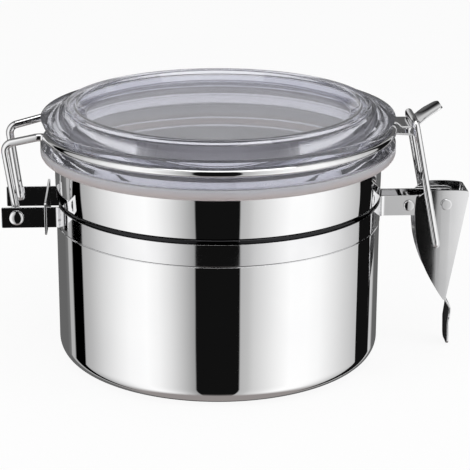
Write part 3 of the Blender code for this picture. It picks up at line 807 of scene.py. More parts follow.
def keep_flats(piece: Piece) -> None:
    """Leaves the bending of the light to a piece's rounded edges, so that its flat faces mirror true."""
    weighted = piece.modifiers.new("Flats", "WEIGHTED_NORMAL")
    weighted.keep_sharp = True


@dataclass
class Assembly:
    """A group of pieces that ride on one body."""

    body: str

    def finish(
        self, piece: Piece, finish: Finish, node: str, crease: float = 38.0,
    ) -> Piece:
        """Dresses a new piece in its finish and puts it in the place of a node.

        Args:
            piece: The piece.
            finish: Its finish.
            node: The node that it stands for.
            crease: The angle past which an edge stays sharp, in degrees.

        Returns:
            The piece.
        """
        piece.data.shade_smooth()
        piece.data.set_sharp_from_angle(angle=math.radians(crease))
        piece.data.materials.clear()
        piece.data.materials.append(dressed(finish))
        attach(piece, self.body)
        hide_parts(node)
        LOG.info("%s stands for %s on %s", piece.name, node, self.body)
        return piece


_materials: dict[str, bpy.types.Material] = {}


def dressed(finish: Finish) -> bpy.types.Material:
    """The finish's material, built once."""
    if finish.name not in _materials:
        _materials[finish.name] = finish.material()
    return _materials[finish.name]


@dataclass
class Can(Assembly):
    """The can, made by deep drawing: a shallow stamped foot, a straight wall, a channel round the neck and a
    rolled rim.
    """

    body: str = "canister"
    radius: float = 62.5 * MM
    height: float = 82.9 * MM
    sheet: float = 0.7 * MM
    corner: float = 7.0 * MM
    rim_reach: float = 2.8 * MM
    rim_depth: float = 3.0 * MM
    channel_radius: float = 61.65 * MM
    channel_foot: float = 54.45 * MM
    channel_slope: float = 0.5 * MM
    cove_foot: float = 62.9 * MM
    cove_top: float = 64.75 * MM
    neck_bulge: float = 0.2 * MM
    stamp_radius: float = 46.0 * MM
    stamp_rise: float = 0.6 * MM
    stamp_slope: float = 1.6 * MM
    draw_lines: Pair = (71.3 * MM, 75.0 * MM)
    draw_depth: float = 0.26 * MM
    draw_rise: float = 0.5 * MM
    draw_fall: float = 0.06 * MM
    bend: float = 0.35 * MM
    # How far below the cove's top the painted shade in the groove stops.
    groove_shade_ease: float = 0.2 * MM
    cove_steps: int = 12
    neck_steps: int = 14
    steps: int = 240

    def floor(self, height: float) -> list[Pair]:
        """The stamped foot's line from the axis outwards, at a height."""
        return [
            (0, height + self.stamp_rise),
            (self.stamp_radius, height + self.stamp_rise),
            (self.stamp_radius + self.stamp_slope, height),
        ]

    def wall(self, inset: float) -> list[Vector]:
        """The wall's line from below the channel up to the rim's foot, set in by a distance.

        Args:
            inset: How far it lies inside the outer wall.

        Returns:
            The points, from the bottom up.
        """
        wide, narrow = self.radius - inset, self.channel_radius - inset
        low = rounded(
            [
                (wide, self.corner),
                (wide, self.channel_foot - self.channel_slope),
                (narrow, self.channel_foot),
                (narrow, self.cove_foot),
            ],
            [self.bend, self.bend],
        )
        rise = self.cove_top - self.cove_foot
        turn = 2 * math.atan2(self.radius - self.channel_radius, rise)
        curve = rise / math.sin(turn)
        centre = Vector((narrow + curve, self.cove_foot))
        angles = (turn * i / self.cove_steps for i in range(1, self.cove_steps))
        cove = [centre + curve * Vector((-math.cos(a), math.sin(a))) for a in angles]
        neck_height = self.height - self.rim_depth - self.cove_top
        neck = []
        for i in range(self.neck_steps + 1):
            share = i / self.neck_steps
            out = self.neck_bulge * 4 * share * (1 - share)
            neck.append(Vector((wide + out, self.cove_top + neck_height * share)))
        return low + cove + neck

    def ridged(self, line: Sequence[Vector]) -> list[Vector]:
        """A line up the inner wall, with the fine ridges that drawing the can leaves on its neck.

        Args:
            line: The inner line, from the bottom up.

        Returns:
            The line with four points for each ridge in place of those next to it.
        """
        ridged = list(line)
        for place in self.draw_lines:
            low = [p for p in ridged if p[1] < place - 2 * self.draw_fall]
            high = [p for p in ridged if p[1] > place + 1.3 * self.draw_rise]
            wall = (low[-1][0] + high[0][0]) / 2
            ridge = [
                Vector((wall, place - self.draw_fall)),
                Vector((wall - self.draw_depth, place)),
                Vector((wall, place + self.draw_rise)),
                Vector((wall, place + self.draw_rise + self.draw_fall)),
            ]
            ridged = low + ridge + high
        return ridged

    def polish(self, shape: Shape) -> None:
        """Takes the ridges' upper faces out of the satin inside, as the drawing tool polishes them."""
        inner = shape.verts.layers.float["Inside"]
        bright = [height + rise for height in self.draw_lines for rise in (0.0, self.draw_rise)]
        for vert in shape.verts:
            if any(abs(vert.co.z - height) < MERGE for height in bright):
                vert[inner] = 0.0

    def build(self) -> None:
        """Models and dresses the can."""
        foot = self.radius - self.corner
        curl = self.rim_depth / 2
        rim_out = self.radius + self.rim_reach - curl
        rim_top = self.height - self.sheet
        bends = [2 * self.bend, 2 * self.bend]
        inner = rounded([*self.floor(self.sheet), (foot, self.sheet)], bends)
        inner += [Vector(p) for p in arc((foot, self.corner), self.corner - self.sheet, -90, 0, 14)]
        inner += self.wall(self.sheet)[1:]
        rim = [Vector(p) for p in arc((self.radius, rim_top), self.sheet, 180, 90, 5)]
        rim += [Vector(p) for p in arc((rim_out, self.height - curl), curl, 90, -90, 16)]
        outer = self.wall(0.0)[::-1]
        outer += [Vector(p) for p in arc((foot, self.corner), self.corner, 0, -90, 18)]
        outer += rounded([(foot, 0), *reversed(self.floor(0.0))], bends)
        inner = self.ridged(without_repeats(inner))
        profile = without_repeats(inner + rim + outer)
        # The neck groove's heights, which the finish paints in shade.
        shaded_groove = (self.channel_foot, self.cove_top - self.groove_shade_ease)
        shape = lathe(profile, self.steps, inside=len(inner), shaded_groove=shaded_groove)
        self.polish(shape)
        self.finish(object_from(shape, "drawn_can"), MIRROR, "can_body")


@dataclass
class Strap(Assembly):
    """The neck strap in two halves, each with a hinge ear and a latch bracket plate."""

    body: str = "canister"
    radius: float = 62.3 * MM
    sheet: float = 0.7 * MM
    foot: float = 54.6 * MM
    width: float = 8.0 * MM
    ear_y: float = 14.0 * MM
    ear_bend: float = 2.0 * MM
    ear_end: float = -82.8 * MM
    ear_corner: float = 0.6 * MM
    bracket_y: float = 4.6 * MM
    bracket_bend: float = 2.5 * MM
    bracket_end: float = 93.1 * MM
    bracket_corner: float = 3.2 * MM
    holes: tuple[Triple, ...] = (
        (-77.0 * MM, 58.6 * MM, 1.75 * MM),
        (73.9 * MM, 58.6 * MM, 1.35 * MM),
        (87.9 * MM, 59.5 * MM, 1.75 * MM),
    )

    def path(self, side: int) -> list[Vector]:
        """The middle line of one half, from its ear round to its bracket plate."""
        ear_y, bracket_y = -self.ear_y, -self.bracket_y
        middle = self.foot + self.width / 2
        ear_centre_y = ear_y - self.ear_bend
        ear_centre_x = -math.sqrt((self.radius + self.ear_bend) ** 2 - ear_centre_y**2)
        start = math.degrees(math.atan2(ear_centre_y, ear_centre_x)) % 360
        bend_y = bracket_y - self.bracket_bend
        bend_x = math.sqrt((self.radius + self.bracket_bend) ** 2 - bend_y**2)
        leave = 360 + math.degrees(math.atan2(bend_y, bend_x))
        flat = [(self.ear_end, ear_y)]
        flat += arc((ear_centre_x, ear_centre_y), self.ear_bend, 90, start - 180, 10)
        flat += arc((0, 0), self.radius, start, leave, 110)[1:]
        flat += arc((bend_x, bend_y), self.bracket_bend, leave - 180, 90, 10)[1:]
        flat += [(self.bracket_end, bracket_y)]
        return [Vector((x, y * side, middle)) for x, y in flat]

    def build(self) -> None:
        """Models and dresses both halves."""
        corners = (self.ear_corner, self.bracket_corner)
        reach = 2 * self.ear_y + 4 * self.width
        for node, side in (("strap_front", 1), ("strap_back", -1)):
            stations = strip_stations(self.path(side), self.sheet, self.width, corners)
            half = object_from(sweep(stations, Section.STRIP, UP), f"neck_{node}")
            for x, z, radius in self.holes:
                cut(half, rod((x, 0, z), radius, reach))
            keep_flats(half)
            self.finish(half, PRESSED, node)


@dataclass
class Retainer(Assembly):
    """The upright plate that both hinge ears pass through."""

    body: str = "canister"
    out: float = -66.0 * MM
    middle: float = 58.6 * MM
    sheet: float = 0.8 * MM
    half_width: float = 16.95 * MM
    half_height: float = 6.4 * MM
    corner: float = 1.2 * MM
    slot_y: float = 14.0 * MM
    slot_half: float = 0.65 * MM
    slot_half_height: float = 4.3 * MM
    edge: float = 0.15 * MM

    def build(self) -> None:
        """Models and dresses the plate."""
        outline = []
        inward = ((-1, -1), (1, -1), (1, 1), (-1, 1))
        for quarter, (across, up) in enumerate(inward):
            centre = (-across * (self.half_width - self.corner), -up * (self.half_height - self.corner))
            outline += arc(centre, self.corner, 90 * quarter, 90 * quarter + 90, 6)
        shape = extruded(outline, self.sheet / 2)
        turn = Matrix.Rotation(math.radians(90), 4, "Z")
        placed = Matrix.Translation((self.out, 0, self.middle)) @ turn
        bmesh.ops.transform(shape, matrix=placed, verts=shape.verts)
        plate = object_from(shape, "ear_retainer_plate")
        reach = Vector((4 * self.sheet, self.slot_half, self.slot_half_height))
        for side in (-1, 1):
            centre = Vector((self.out, side * self.slot_y, self.middle))
            cut(plate, block(centre - reach, centre + reach))
        rounded_sheet_edges(plate, self.edge)
        self.finish(plate, PRESSED, "ear_retainer")


@dataclass
class Rivet(Assembly):
    """A rivet along Y with a low domed head at each end."""

    body: str
    node: str = "clamp_rivet"
    name: str = "clamp_rivet_domed"
    place: Triple = (73.9 * MM, 0.0, 58.6 * MM)
    shaft: float = 1.1 * MM
    half_grip: float = 5.2 * MM
    head: float = 2.2 * MM
    head_height: float = 0.7 * MM
    crown_share: float = 0.1
    crown_steps: int = 6
    steps: int = 48

    def build(self) -> None:
        """Models and dresses the rivet."""
        crown = self.crown_share * self.head_height
        shoulder = (1 - self.crown_share) * self.head_height
        flat = self.head - shoulder
        top = self.half_grip + self.head_height - crown
        shares = [i / self.crown_steps for i in range(self.crown_steps)]
        middle = [(flat * share, top + crown * (1 - share**2)) for share in shares]
        dome = arc((flat, top - shoulder), shoulder, 90, 0, 8)
        side = [*middle, *dome, (self.head, self.half_grip), (self.shaft, self.half_grip)]
        side += [(r, -y) for r, y in reversed(side)]
        shape = lathe(without_repeats([Vector(p) for p in side]), self.steps)
        self.finish(object_from(across_y(shape, self.place), self.name), PRESSED, self.node)


@dataclass
class Lid(Assembly):
    """The clear lid shell: a raised rim round a sunken window, a groove for the wire and a short plug."""

    body: str = "lid"
    window_radius: float = 50.5 * MM
    window_top: float = 96.0 * MM
    top: float = 99.5 * MM
    wall: float = 2.6 * MM
    flange_radius: float = 67.7 * MM
    flange_top: float = 95.4 * MM
    shoulder_radius: float = 60.3 * MM
    shoulder_height: float = 98.2 * MM
    flange_tuck: float = 1.3 * MM
    lip_tuck: float = 2.0 * MM
    lip_ridge: float = 86.9 * MM
    groove_radius: float = 64.9 * MM
    groove_foot: float = 88.4 * MM
    groove_top: float = 92.0 * MM
    seat: float = 84.6 * MM
    seat_radius: float = 68.0 * MM
    plug_radius: float = 61.1 * MM
    plug_foot: float = 82.7 * MM
    plug_foot_radius: float = 58.84 * MM
    hollow_radius: float = 57.24 * MM
    window_slope: float = 3.6 * MM
    under_slope: float = 3.5 * MM
    under_shift: float = 0.9 * MM
    under_drop: float = 0.1 * MM
    crown_inset: float = 2.3 * MM
    flange_drop: float = 0.2 * MM
    seat_edge: float = 0.6 * MM
    seat_tuck: float = 0.2 * MM
    hollow_drop: float = 0.3 * MM
    pocket_low: Triple = (63.57 * MM, -7.8 * MM, 87.4 * MM)
    pocket_high: Triple = (73.0 * MM, 7.8 * MM, 93.0 * MM)
    steps: int = 240

    def profile(self) -> list[Vector]:
        """The shell's closed line, from the axis over the top, round the flange and back inside."""
        under = self.window_top - self.wall
        ridge = self.top - self.wall
        inward = self.window_radius + self.under_shift
        corners = (
            ((0, self.window_top), 0),
            ((self.window_radius, self.window_top), 1.2),
            ((self.window_radius + self.window_slope, self.top), 1.6),
            ((self.shoulder_radius - self.crown_inset, self.top), 1.6),
            ((self.shoulder_radius, self.shoulder_height), 1.4),
            ((self.flange_radius, self.flange_top - self.flange_drop), 0.4),
            ((self.flange_radius - self.flange_tuck, self.groove_top), 0.35),
            ((self.groove_radius, self.groove_top), 0.35),
            ((self.groove_radius, self.groove_foot), 0.35),
            ((self.flange_radius - self.lip_tuck, self.groove_foot), 0.5),
            ((self.flange_radius - self.lip_tuck / 2, self.lip_ridge), 2.0),
            ((self.seat_radius, self.seat + self.seat_edge), 0.5),
            ((self.seat_radius - self.seat_tuck, self.seat), 0.3),
            ((self.plug_radius, self.seat), 0.4),
            ((self.plug_foot_radius, self.plug_foot), 0.4),
            ((self.hollow_radius, self.plug_foot), 0.4),
            ((self.hollow_radius, ridge - self.hollow_drop), 1.0),
            ((inward + self.under_slope, ridge - self.under_drop), 0.8),
            ((inward, under), 1.2),
            ((0, under), 0),
        )
        return rounded([p for p, _ in corners], [r * MM for _, r in corners[1:-1]])

    def build(self) -> None:
        """Models and dresses the shell, with the pocket that the catch lies in."""
        shell = object_from(lathe(self.profile(), self.steps), "clear_lid")
        cut(shell, block(self.pocket_low, self.pocket_high))
        self.finish(shell, PLASTIC, "lid_shell")


@dataclass
class Gasket(Assembly):
    """The soft ring: a web on the can's rim and a lip that hangs outside it."""

    body: str = "lid"
    inner_radius: float = 61.4 * MM
    foot: float = 83.2 * MM
    top: float = 84.3 * MM
    outer_radius: float = 68.0 * MM
    lip_foot: float = 80.2 * MM
    lip_radius: float = 65.7 * MM
    easing: float = 0.3 * MM
    lip_easing: float = 1.6 * MM
    start_share: float = 0.4
    bend_step: float = 12.0
    steps: int = 240

    def build(self) -> None:
        """Models and dresses the gasket."""
        corners = [
            (self.lip_radius, self.foot),
            (self.inner_radius, self.foot),
            (self.inner_radius, self.top),
            (self.outer_radius, self.top),
            (self.outer_radius, self.lip_foot),
            (self.lip_radius, self.lip_foot),
        ]
        small, large = self.easing, 2 * self.easing
        line = [Vector(corners[0]).lerp(Vector(corners[-1]), self.start_share), *corners]
        line.append(line[0])
        path = rounded(line, [small, small, small, large, self.lip_easing, small], self.bend_step)
        shape = lathe(without_repeats(path)[:-1], self.steps, closed=True)
        self.finish(object_from(shape, "sealing_ring"), RUBBER, "lid_gasket")


@dataclass
class RingWire(Assembly):
    """The wire in the lid's groove, with its two hinge legs and their upset heads."""

    body: str = "lid"
    wire: float = 3.0 * MM
    radius: float = 66.8 * MM
    height: float = 90.2 * MM
    mouth_y: float = 15.0 * MM
    leg_y: float = 13.3 * MM
    foot_y: float = 11.1 * MM
    hook_y: float = 15.1 * MM
    hinge: float = -77.0 * MM
    pin_height: float = 58.6 * MM
    lean: float = 3.9 * MM
    arm_drop: float = 3.0 * MM
    arm_bend: float = -68.3 * MM
    trim: float = math.radians(2.7)
    turns: int = 150
    bends: tuple[float, ...] = (2.1 * MM, 3.4 * MM, 2.4 * MM, 2.4 * MM)
    bend_step: float = 8.0
    spacing: float = 4.0 * MM
    head: float = 2.7 * MM
    head_height: float = 1.0 * MM
    head_edge: float = 0.15 * MM
    head_round: float = 0.4 * MM
    head_crown: float = 0.04 * MM

    def upset_head(self) -> list[Pair]:
        """The steps along a head from its neck outwards, and its radii there."""
        rise = self.head_height / 2
        return [
            (-rise, self.wire / 2),
            (-rise, self.head - self.head_edge),
            (-rise + self.head_edge, self.head),
            (rise - self.head_round, self.head),
            (rise - self.head_edge, 0.86 * self.head),
            (rise, 0.55 * self.head),
            (rise + self.head_crown, 0.2 * self.head),
        ]

    def build(self) -> None:
        """Models and dresses the wire."""
        opening = math.pi - math.asin(self.mouth_y / self.radius)
        trimmed = opening - self.trim
        angles = [trimmed * (2 * i / self.turns - 1) for i in range(self.turns + 1)]
        ring = [Vector((self.radius * math.cos(a), self.radius * math.sin(a), self.height)) for a in angles]
        corners = [
            (self.hinge, -self.hook_y, self.pin_height),
            (self.hinge, -self.foot_y, self.pin_height),
            (self.hinge - self.lean, -self.leg_y, self.height - self.arm_drop),
            (self.arm_bend, -self.mouth_y, self.height),
            (self.radius * math.cos(opening), -self.mouth_y, self.height),
            ring[0],
        ]
        leg = rounded(corners, self.bends, self.bend_step)[:-1]
        path = leg + ring + [Vector((p.x, -p.y, p.z)) for p in reversed(leg)]
        stations = wire_stations(resampled(path, self.spacing)[1:-1], self.wire / 2)
        ends = []
        for end, side in ((stations[0], -1), (stations[-1], 1)):
            centre = Vector((self.hinge, side * self.hook_y, self.pin_height))
            out = Vector((0, side, 0))
            ends.append([Station(centre + out * s, end.along, r, r) for s, r in self.upset_head()])
        stations = ends[0][::-1] + stations + ends[1]
        wire = object_from(sweep(stations, Section.WIRE, UP), "lid_ring")
        self.finish(wire, WIRE, "lid_ring_wire")


@dataclass
class Catch(Assembly):
    """The strip folded round the ring wire, with a seat for the bail and a finger tab."""

    body: str = "lid"
    sheet: float = 0.75 * MM
    width: float = 15.0 * MM
    end_width: float = 11.6 * MM
    fold_out: float = 66.378 * MM
    ring_radius: float = 66.8 * MM
    ring_height: float = 90.2 * MM
    fold_radius: float = 2.125 * MM
    leaf: float = 90.575 * MM
    bend_out: float = 75.2 * MM
    bend: float = 1.4 * MM
    lower_dip: float = 0.6 * MM
    tab: float = 12.4 * MM
    slope: float = math.radians(33.0)
    corner: float = 2.2 * MM
    dish: float = 1.0 * MM
    spacing: float = 1.5 * MM
    slices: int = 24

    def build(self) -> None:
        """Models and dresses the catch."""
        fold = arc((self.fold_out, self.ring_height), self.fold_radius, 270, 90, 18)
        fold += arc((self.ring_radius, self.ring_height), self.fold_radius, 90, 45, 5)
        last = Vector(fold[-1])
        bend = Vector((self.bend_out, self.leaf))
        tip = bend + self.tab * Vector((math.cos(self.slope), math.sin(self.slope)))
        seat = Vector((last.x + last.y - self.leaf, self.leaf))
        upper = rounded([last, seat, bend, tip], [self.bend, self.bend])
        start = (self.bend_out, self.ring_height - self.fold_radius - self.lower_dip)
        path = resampled([Vector((x, 0, z)) for x, z in (start, *fold, *upper)], self.spacing)
        stations = strip_stations(
            path, self.sheet, self.width, (0.0, self.corner), self.end_width, self.tab
        )
        shape = sweep(stations, Section.STRIP, ACROSS)
        half = self.slices // 2
        sliced(shape, ACROSS, [self.width * i / self.slices for i in range(1 - half, half)])
        for vert in shape.verts:
            beyond = max(0.0, vert.co.x - bend.x) / (tip.x - bend.x)
            rise = self.dish * min(1.0, 2 * beyond) * (2 * vert.co.y / self.width) ** 2
            vert.co += rise * Vector((-math.sin(self.slope), 0, math.cos(self.slope)))
        self.finish(object_from(shape, "folded_catch"), PRESSED, "lid_catch")


@dataclass
class Bail(Assembly):
    """The wire loop whose bar lies on the catch and whose legs hook into the lever."""

    body: str = "bail"
    wire: float = 2.8 * MM
    hook: Pair = (84.5 * MM, 43.3 * MM)
    top_y: float = 10.0 * MM
    hook_y: float = 9.3 * MM
    end_y: float = 5.5 * MM
    gap: float = 0.25 * MM
    bends: tuple[float, ...] = (2.0 * MM, 2.2 * MM, 2.2 * MM, 2.0 * MM)
    bend_step: float = 8.0
    spacing: float = 4.0 * MM
    rounding: tuple[Pair, ...] = ((0.05 * MM, 0.96), (0.2 * MM, 0.8), (0.25 * MM, 0.6))

    def build(self) -> None:
        """Models and dresses the bail, whose bar lies in the bend of the catch."""
        half_sheet = Catch.sheet / 2
        clear = self.wire / 2 + self.gap
        bar_x = Catch.bend_out - (clear + half_sheet) * math.tan(Catch.slope / 2)
        bar_z = Catch.leaf + half_sheet + clear
        near = [
            (self.hook[0], -self.end_y, self.hook[1]),
            (self.hook[0], -self.hook_y, self.hook[1]),
            (bar_x, -self.top_y, bar_z),
        ]
        corners = near + [(x, -y, z) for x, y, z in reversed(near)]
        path = rounded(corners, self.bends, self.bend_step)
        ends = [(step, share * self.wire / 2) for step, share in self.rounding]
        stations = wire_stations(resampled(path, self.spacing), self.wire / 2, ends)
        bail = object_from(sweep(stations, Section.WIRE, UP), "bail_wire")
        self.finish(bail, WIRE, "latch_bail")


@dataclass
class Lever(Assembly):
    """The pressed channel lever: two crowned cheeks, an outer web and the finger tail below it."""

    body: str = "lever"
    pivot: Pair = (87.9 * MM, 59.5 * MM)
    hole: Pair = (84.5 * MM, 43.3 * MM)
    pivot_radius: float = 1.75 * MM
    hole_radius: float = 1.65 * MM
    half: float = 7.2 * MM
    sheet: float = 0.8 * MM
    above: float = 5.6 * MM
    below: float = 39.3 * MM
    inboard: float = 11.5 * MM
    outboard: float = 8.9 * MM
    web_bend: float = 1.3 * MM
    tail_sheet: float = 0.8 * MM
    tail_width: float = 11.0 * MM
    tail_drop: float = 19.6 * MM
    tail_corner: float = 2.4 * MM
    tail_bend: float = 4.0 * MM
    spacing: float = 1.5 * MM
    edge: float = 0.14 * MM
    crown: float = 0.85 * MM
    crown_middle: float = 87.5 * MM
    crown_half: float = 10.1 * MM
    slices: int = 15
    curve_steps: int = 5
    top_shares: tuple[Pair, ...] = (
        (1.0, 0.62), (0.98, 0.84), (0.82, 0.93), (0.48, 0.98),
        (0.0, 1.0), (-0.46, 0.98), (-0.72, 0.8), (-0.9, 0.5),
    )
    inboard_shares: tuple[Pair, ...] = (
        (-0.98, 0.17), (-1.0, -0.2), (-0.9, -0.43), (-0.63, -0.67), (-0.24, -0.88), (0.04, -1.0),
    )
    foot_share: float = 0.14
    tail_shares: tuple[Pair, ...] = ((0.13, -0.12), (0.16, 0.03), (0.42, 0.21), (0.33, 0.55), (0.36, 1.0))

    def spot(self, across: float, up: float) -> Vector:
        """A point of the cheek from its shares of the reach and of the height about the pivot."""
        reach = self.outboard if across > 0 else self.inboard
        height = self.above if up > 0 else self.below
        return Vector((self.pivot[0] + across * reach, self.pivot[1] + up * height))

    def outline(self) -> list[Vector]:
        """The cheek's outline with its corners drawn as curves."""
        corners = [self.spot(*shares) for shares in (*self.top_shares, *self.inboard_shares)]
        foot = self.spot(self.foot_share, -1.0)
        return [corners[0], *smooth_line(corners, self.curve_steps)[1:], foot]

    def build(self) -> None:
        """Models and dresses the lever."""
        outline = self.outline()
        top, foot = outline[0], outline[-1]
        shape = extruded(outline, self.half)
        along = (foot - top).normalized()

        def on_web(edge: Edge) -> bool:
            """Whether an edge is a long side of the web."""
            a, b = (Vector((vert.co.x, vert.co.z)) for vert in edge.verts)
            level = abs(edge.verts[0].co.y - edge.verts[1].co.y) < MERGE
            return level and min((a - top).length, (b - top).length) < MERGE and (
                min((a - foot).length, (b - foot).length) < MERGE
            )

        ease(shape, on_web, self.web_bend, 6)
        lever = object_from(shape, "latch_channel")
        inward = Vector((along.y, -along.x)) * self.sheet
        far = Vector((self.pivot[0] - 2 * self.inboard, 0))
        pocket = extruded(
            [
                top + inward - along * self.inboard,
                foot + inward + along * self.inboard,
                Vector((far.x, foot.y - self.inboard)),
                Vector((far.x, top.y + 2 * self.inboard)),
            ],
            self.half - self.sheet,
        )
        inner_bend = self.web_bend - self.sheet / 2
        ease(pocket, lambda edge: is_long_side(edge, top + inward, along), inner_bend, 4)
        cut(lever, pocket)
        cut(lever, self.tail(foot), "UNION")
        for (x, z), radius in ((self.pivot, self.pivot_radius), (self.hole, self.hole_radius)):
            cut(lever, rod((x, 0, z), radius, 4 * self.half))
        self.crown_cheeks(lever)
        rounded_sheet_edges(lever, self.edge)
        self.finish(lever, SATIN, "latch_lever")

    def tail(self, foot: Vector) -> Shape:
        """The finger tail, a strip that bends out below the cheeks."""
        line = [
            Vector((self.pivot[0] + x * self.outboard, 0, foot.y - z * self.tail_drop))
            for x, z in self.tail_shares
        ]
        bent = resampled(rounded(line, [self.tail_bend] * (len(line) - 2)), self.spacing)
        corners = (self.tail_corner, self.tail_corner)
        stations = strip_stations(bent, self.tail_sheet, self.tail_width, corners)
        return sweep(stations, Section.STRIP, ACROSS)

    def crown_cheeks(self, lever: Piece) -> None:
        """Domes the cheeks a little across their width, as pressing leaves them.

        Args:
            lever: The lever, whose mesh it changes.
        """
        shape = bmesh.new()
        shape.from_mesh(lever.data)
        counts = range(-self.slices, self.slices + 1)
        sliced(shape, OUT, [self.crown_middle + self.crown_half * i / self.slices for i in counts])
        for vert in shape.verts:
            off = (vert.co.x - self.crown_middle) / self.crown_half
            if abs(vert.co.y) > self.half - 2 * self.sheet and vert.co.z > self.hole[1] - self.below / 2:
                vert.co.y -= math.copysign(self.crown * off**2, vert.co.y)
        shape.to_mesh(lever.data)
        shape.free()


def sliced(shape: Shape, normal: Vector, places: Iterable[float]) -> None:
    """Adds edges to a shape where planes cross it, so that it can be bent there.

    Args:
        shape: The shape.
        normal: The planes' direction.
        places: How far along it each plane lies.
    """
    for place in places:
        bmesh.ops.bisect_plane(
            shape, geom=shape.verts[:] + shape.edges[:] + shape.faces[:], dist=MERGE,
            plane_co=normal * place, plane_no=normal,
        )


def is_long_side(edge: Edge, start: Vector, along: Vector) -> bool:
    """Whether an edge lies on the line through a point, in X and Z."""
    spots = [Vector((vert.co.x, vert.co.z)) - start for vert in edge.verts]
    off = [abs(spot.x * along.y - spot.y * along.x) for spot in spots]
    level = abs(edge.verts[0].co.y - edge.verts[1].co.y) < MERGE
    return level and max(off) < MERGE


def smooth_line(points: Sequence[Vector], steps: int) -> list[Vector]:
    """A curve through the points, by Catmull-Rom splines.

    Args:
        points: The points that it passes.
        steps: Steps between two of them.

    Returns:
        The curve's points.
    """
    line = [points[0]]
    ends = [points[0], *points, points[-1]]
    for a, b, c, d in zip(ends, ends[1:], ends[2:], ends[3:]):
        for i in range(1, steps + 1):
            t = i / steps
            square, cube = (2 * a - 5 * b + 4 * c - d) * t**2, (3 * b - a - 3 * c + d) * t**3
            line.append(0.5 * (2 * b + (c - a) * t + square + cube))
    return line


DARK = 0.006


@dataclass(frozen=True)
class Tent:
    """The wall of a light tent round the canister, which mirror surfaces alone see.

    Each stop is a place on the can's wall, from the front towards +X in degrees, and how bright the tent
    is where the camera sees it mirrored there. Each row is an elevation and whether the tent has its ground
    colour there, its stops or its ceiling's. The front has the dark slot that the camera looks through.
    """

    radius: float = 0.6
    middle: float = 50.0 * MM
    stops: tuple[Pair, ...] = (
        (-87.0, 0.012), (-84.0, 0.13), (-69.6, 0.13), (-66.6, 0.18), (-65.8, 0.45), (-63.3, 0.45),
        (-62.3, 0.0), (-56.0, 0.0), (-55.4, 0.42), (-51.3, 0.50), (-48.1, 0.60), (-45.1, 0.70),
        (-38.7, 0.88), (-33.8, 1.0),
        (-26.9, 1.05), (-22.6, 0.96), (-18.4, 0.78), (-14.3, 0.56), (-10.2, 0.34), (-9.7, DARK), (4.4, DARK),
        (4.9, 0.48), (7.4, 0.54), (9.4, 0.65), (13.5, 0.79), (17.6, 0.93), (22.0, 1.05), (28.9, 1.05),
        (33.8, 1.0), (39.2, 0.86), (45.3, 0.70), (51.2, 0.57), (53.9, 0.52), (54.4, DARK), (64.2, DARK),
        (65.2, 0.62), (67.3, 0.52), (69.0, 0.13), (84.0, 0.11), (87.0, 0.012),
    )
    card_distance: float = 0.5
    card_columns: tuple[Pair, ...] = ((-0.19, 0.0), (-0.14, 1.0), (0.09, 1.0), (0.13, 0.0))
    card_rows: tuple[Pair, ...] = ((0.09, 0.0), (0.12, 1.0), (0.205, 1.0), (0.255, 0.25), (0.30, 0.0))
    card_level: float = 0.6
    flag: tuple[Pair, Pair] = ((58.3 * MM, -33.5 * MM), (62.3 * MM, -22.0 * MM))
    flag_foot: float = -20.0 * MM
    flag_top: float = 78.0 * MM
    ceiling: Colour = (0.02, 0.02, 0.022)
    ground: Colour = (0.30, 0.275, 0.27)
    rows: tuple[Pair, ...] = ((-64.0, -1.0), (-50.0, 0.0), (52.0, 0.0), (66.0, 1.0))


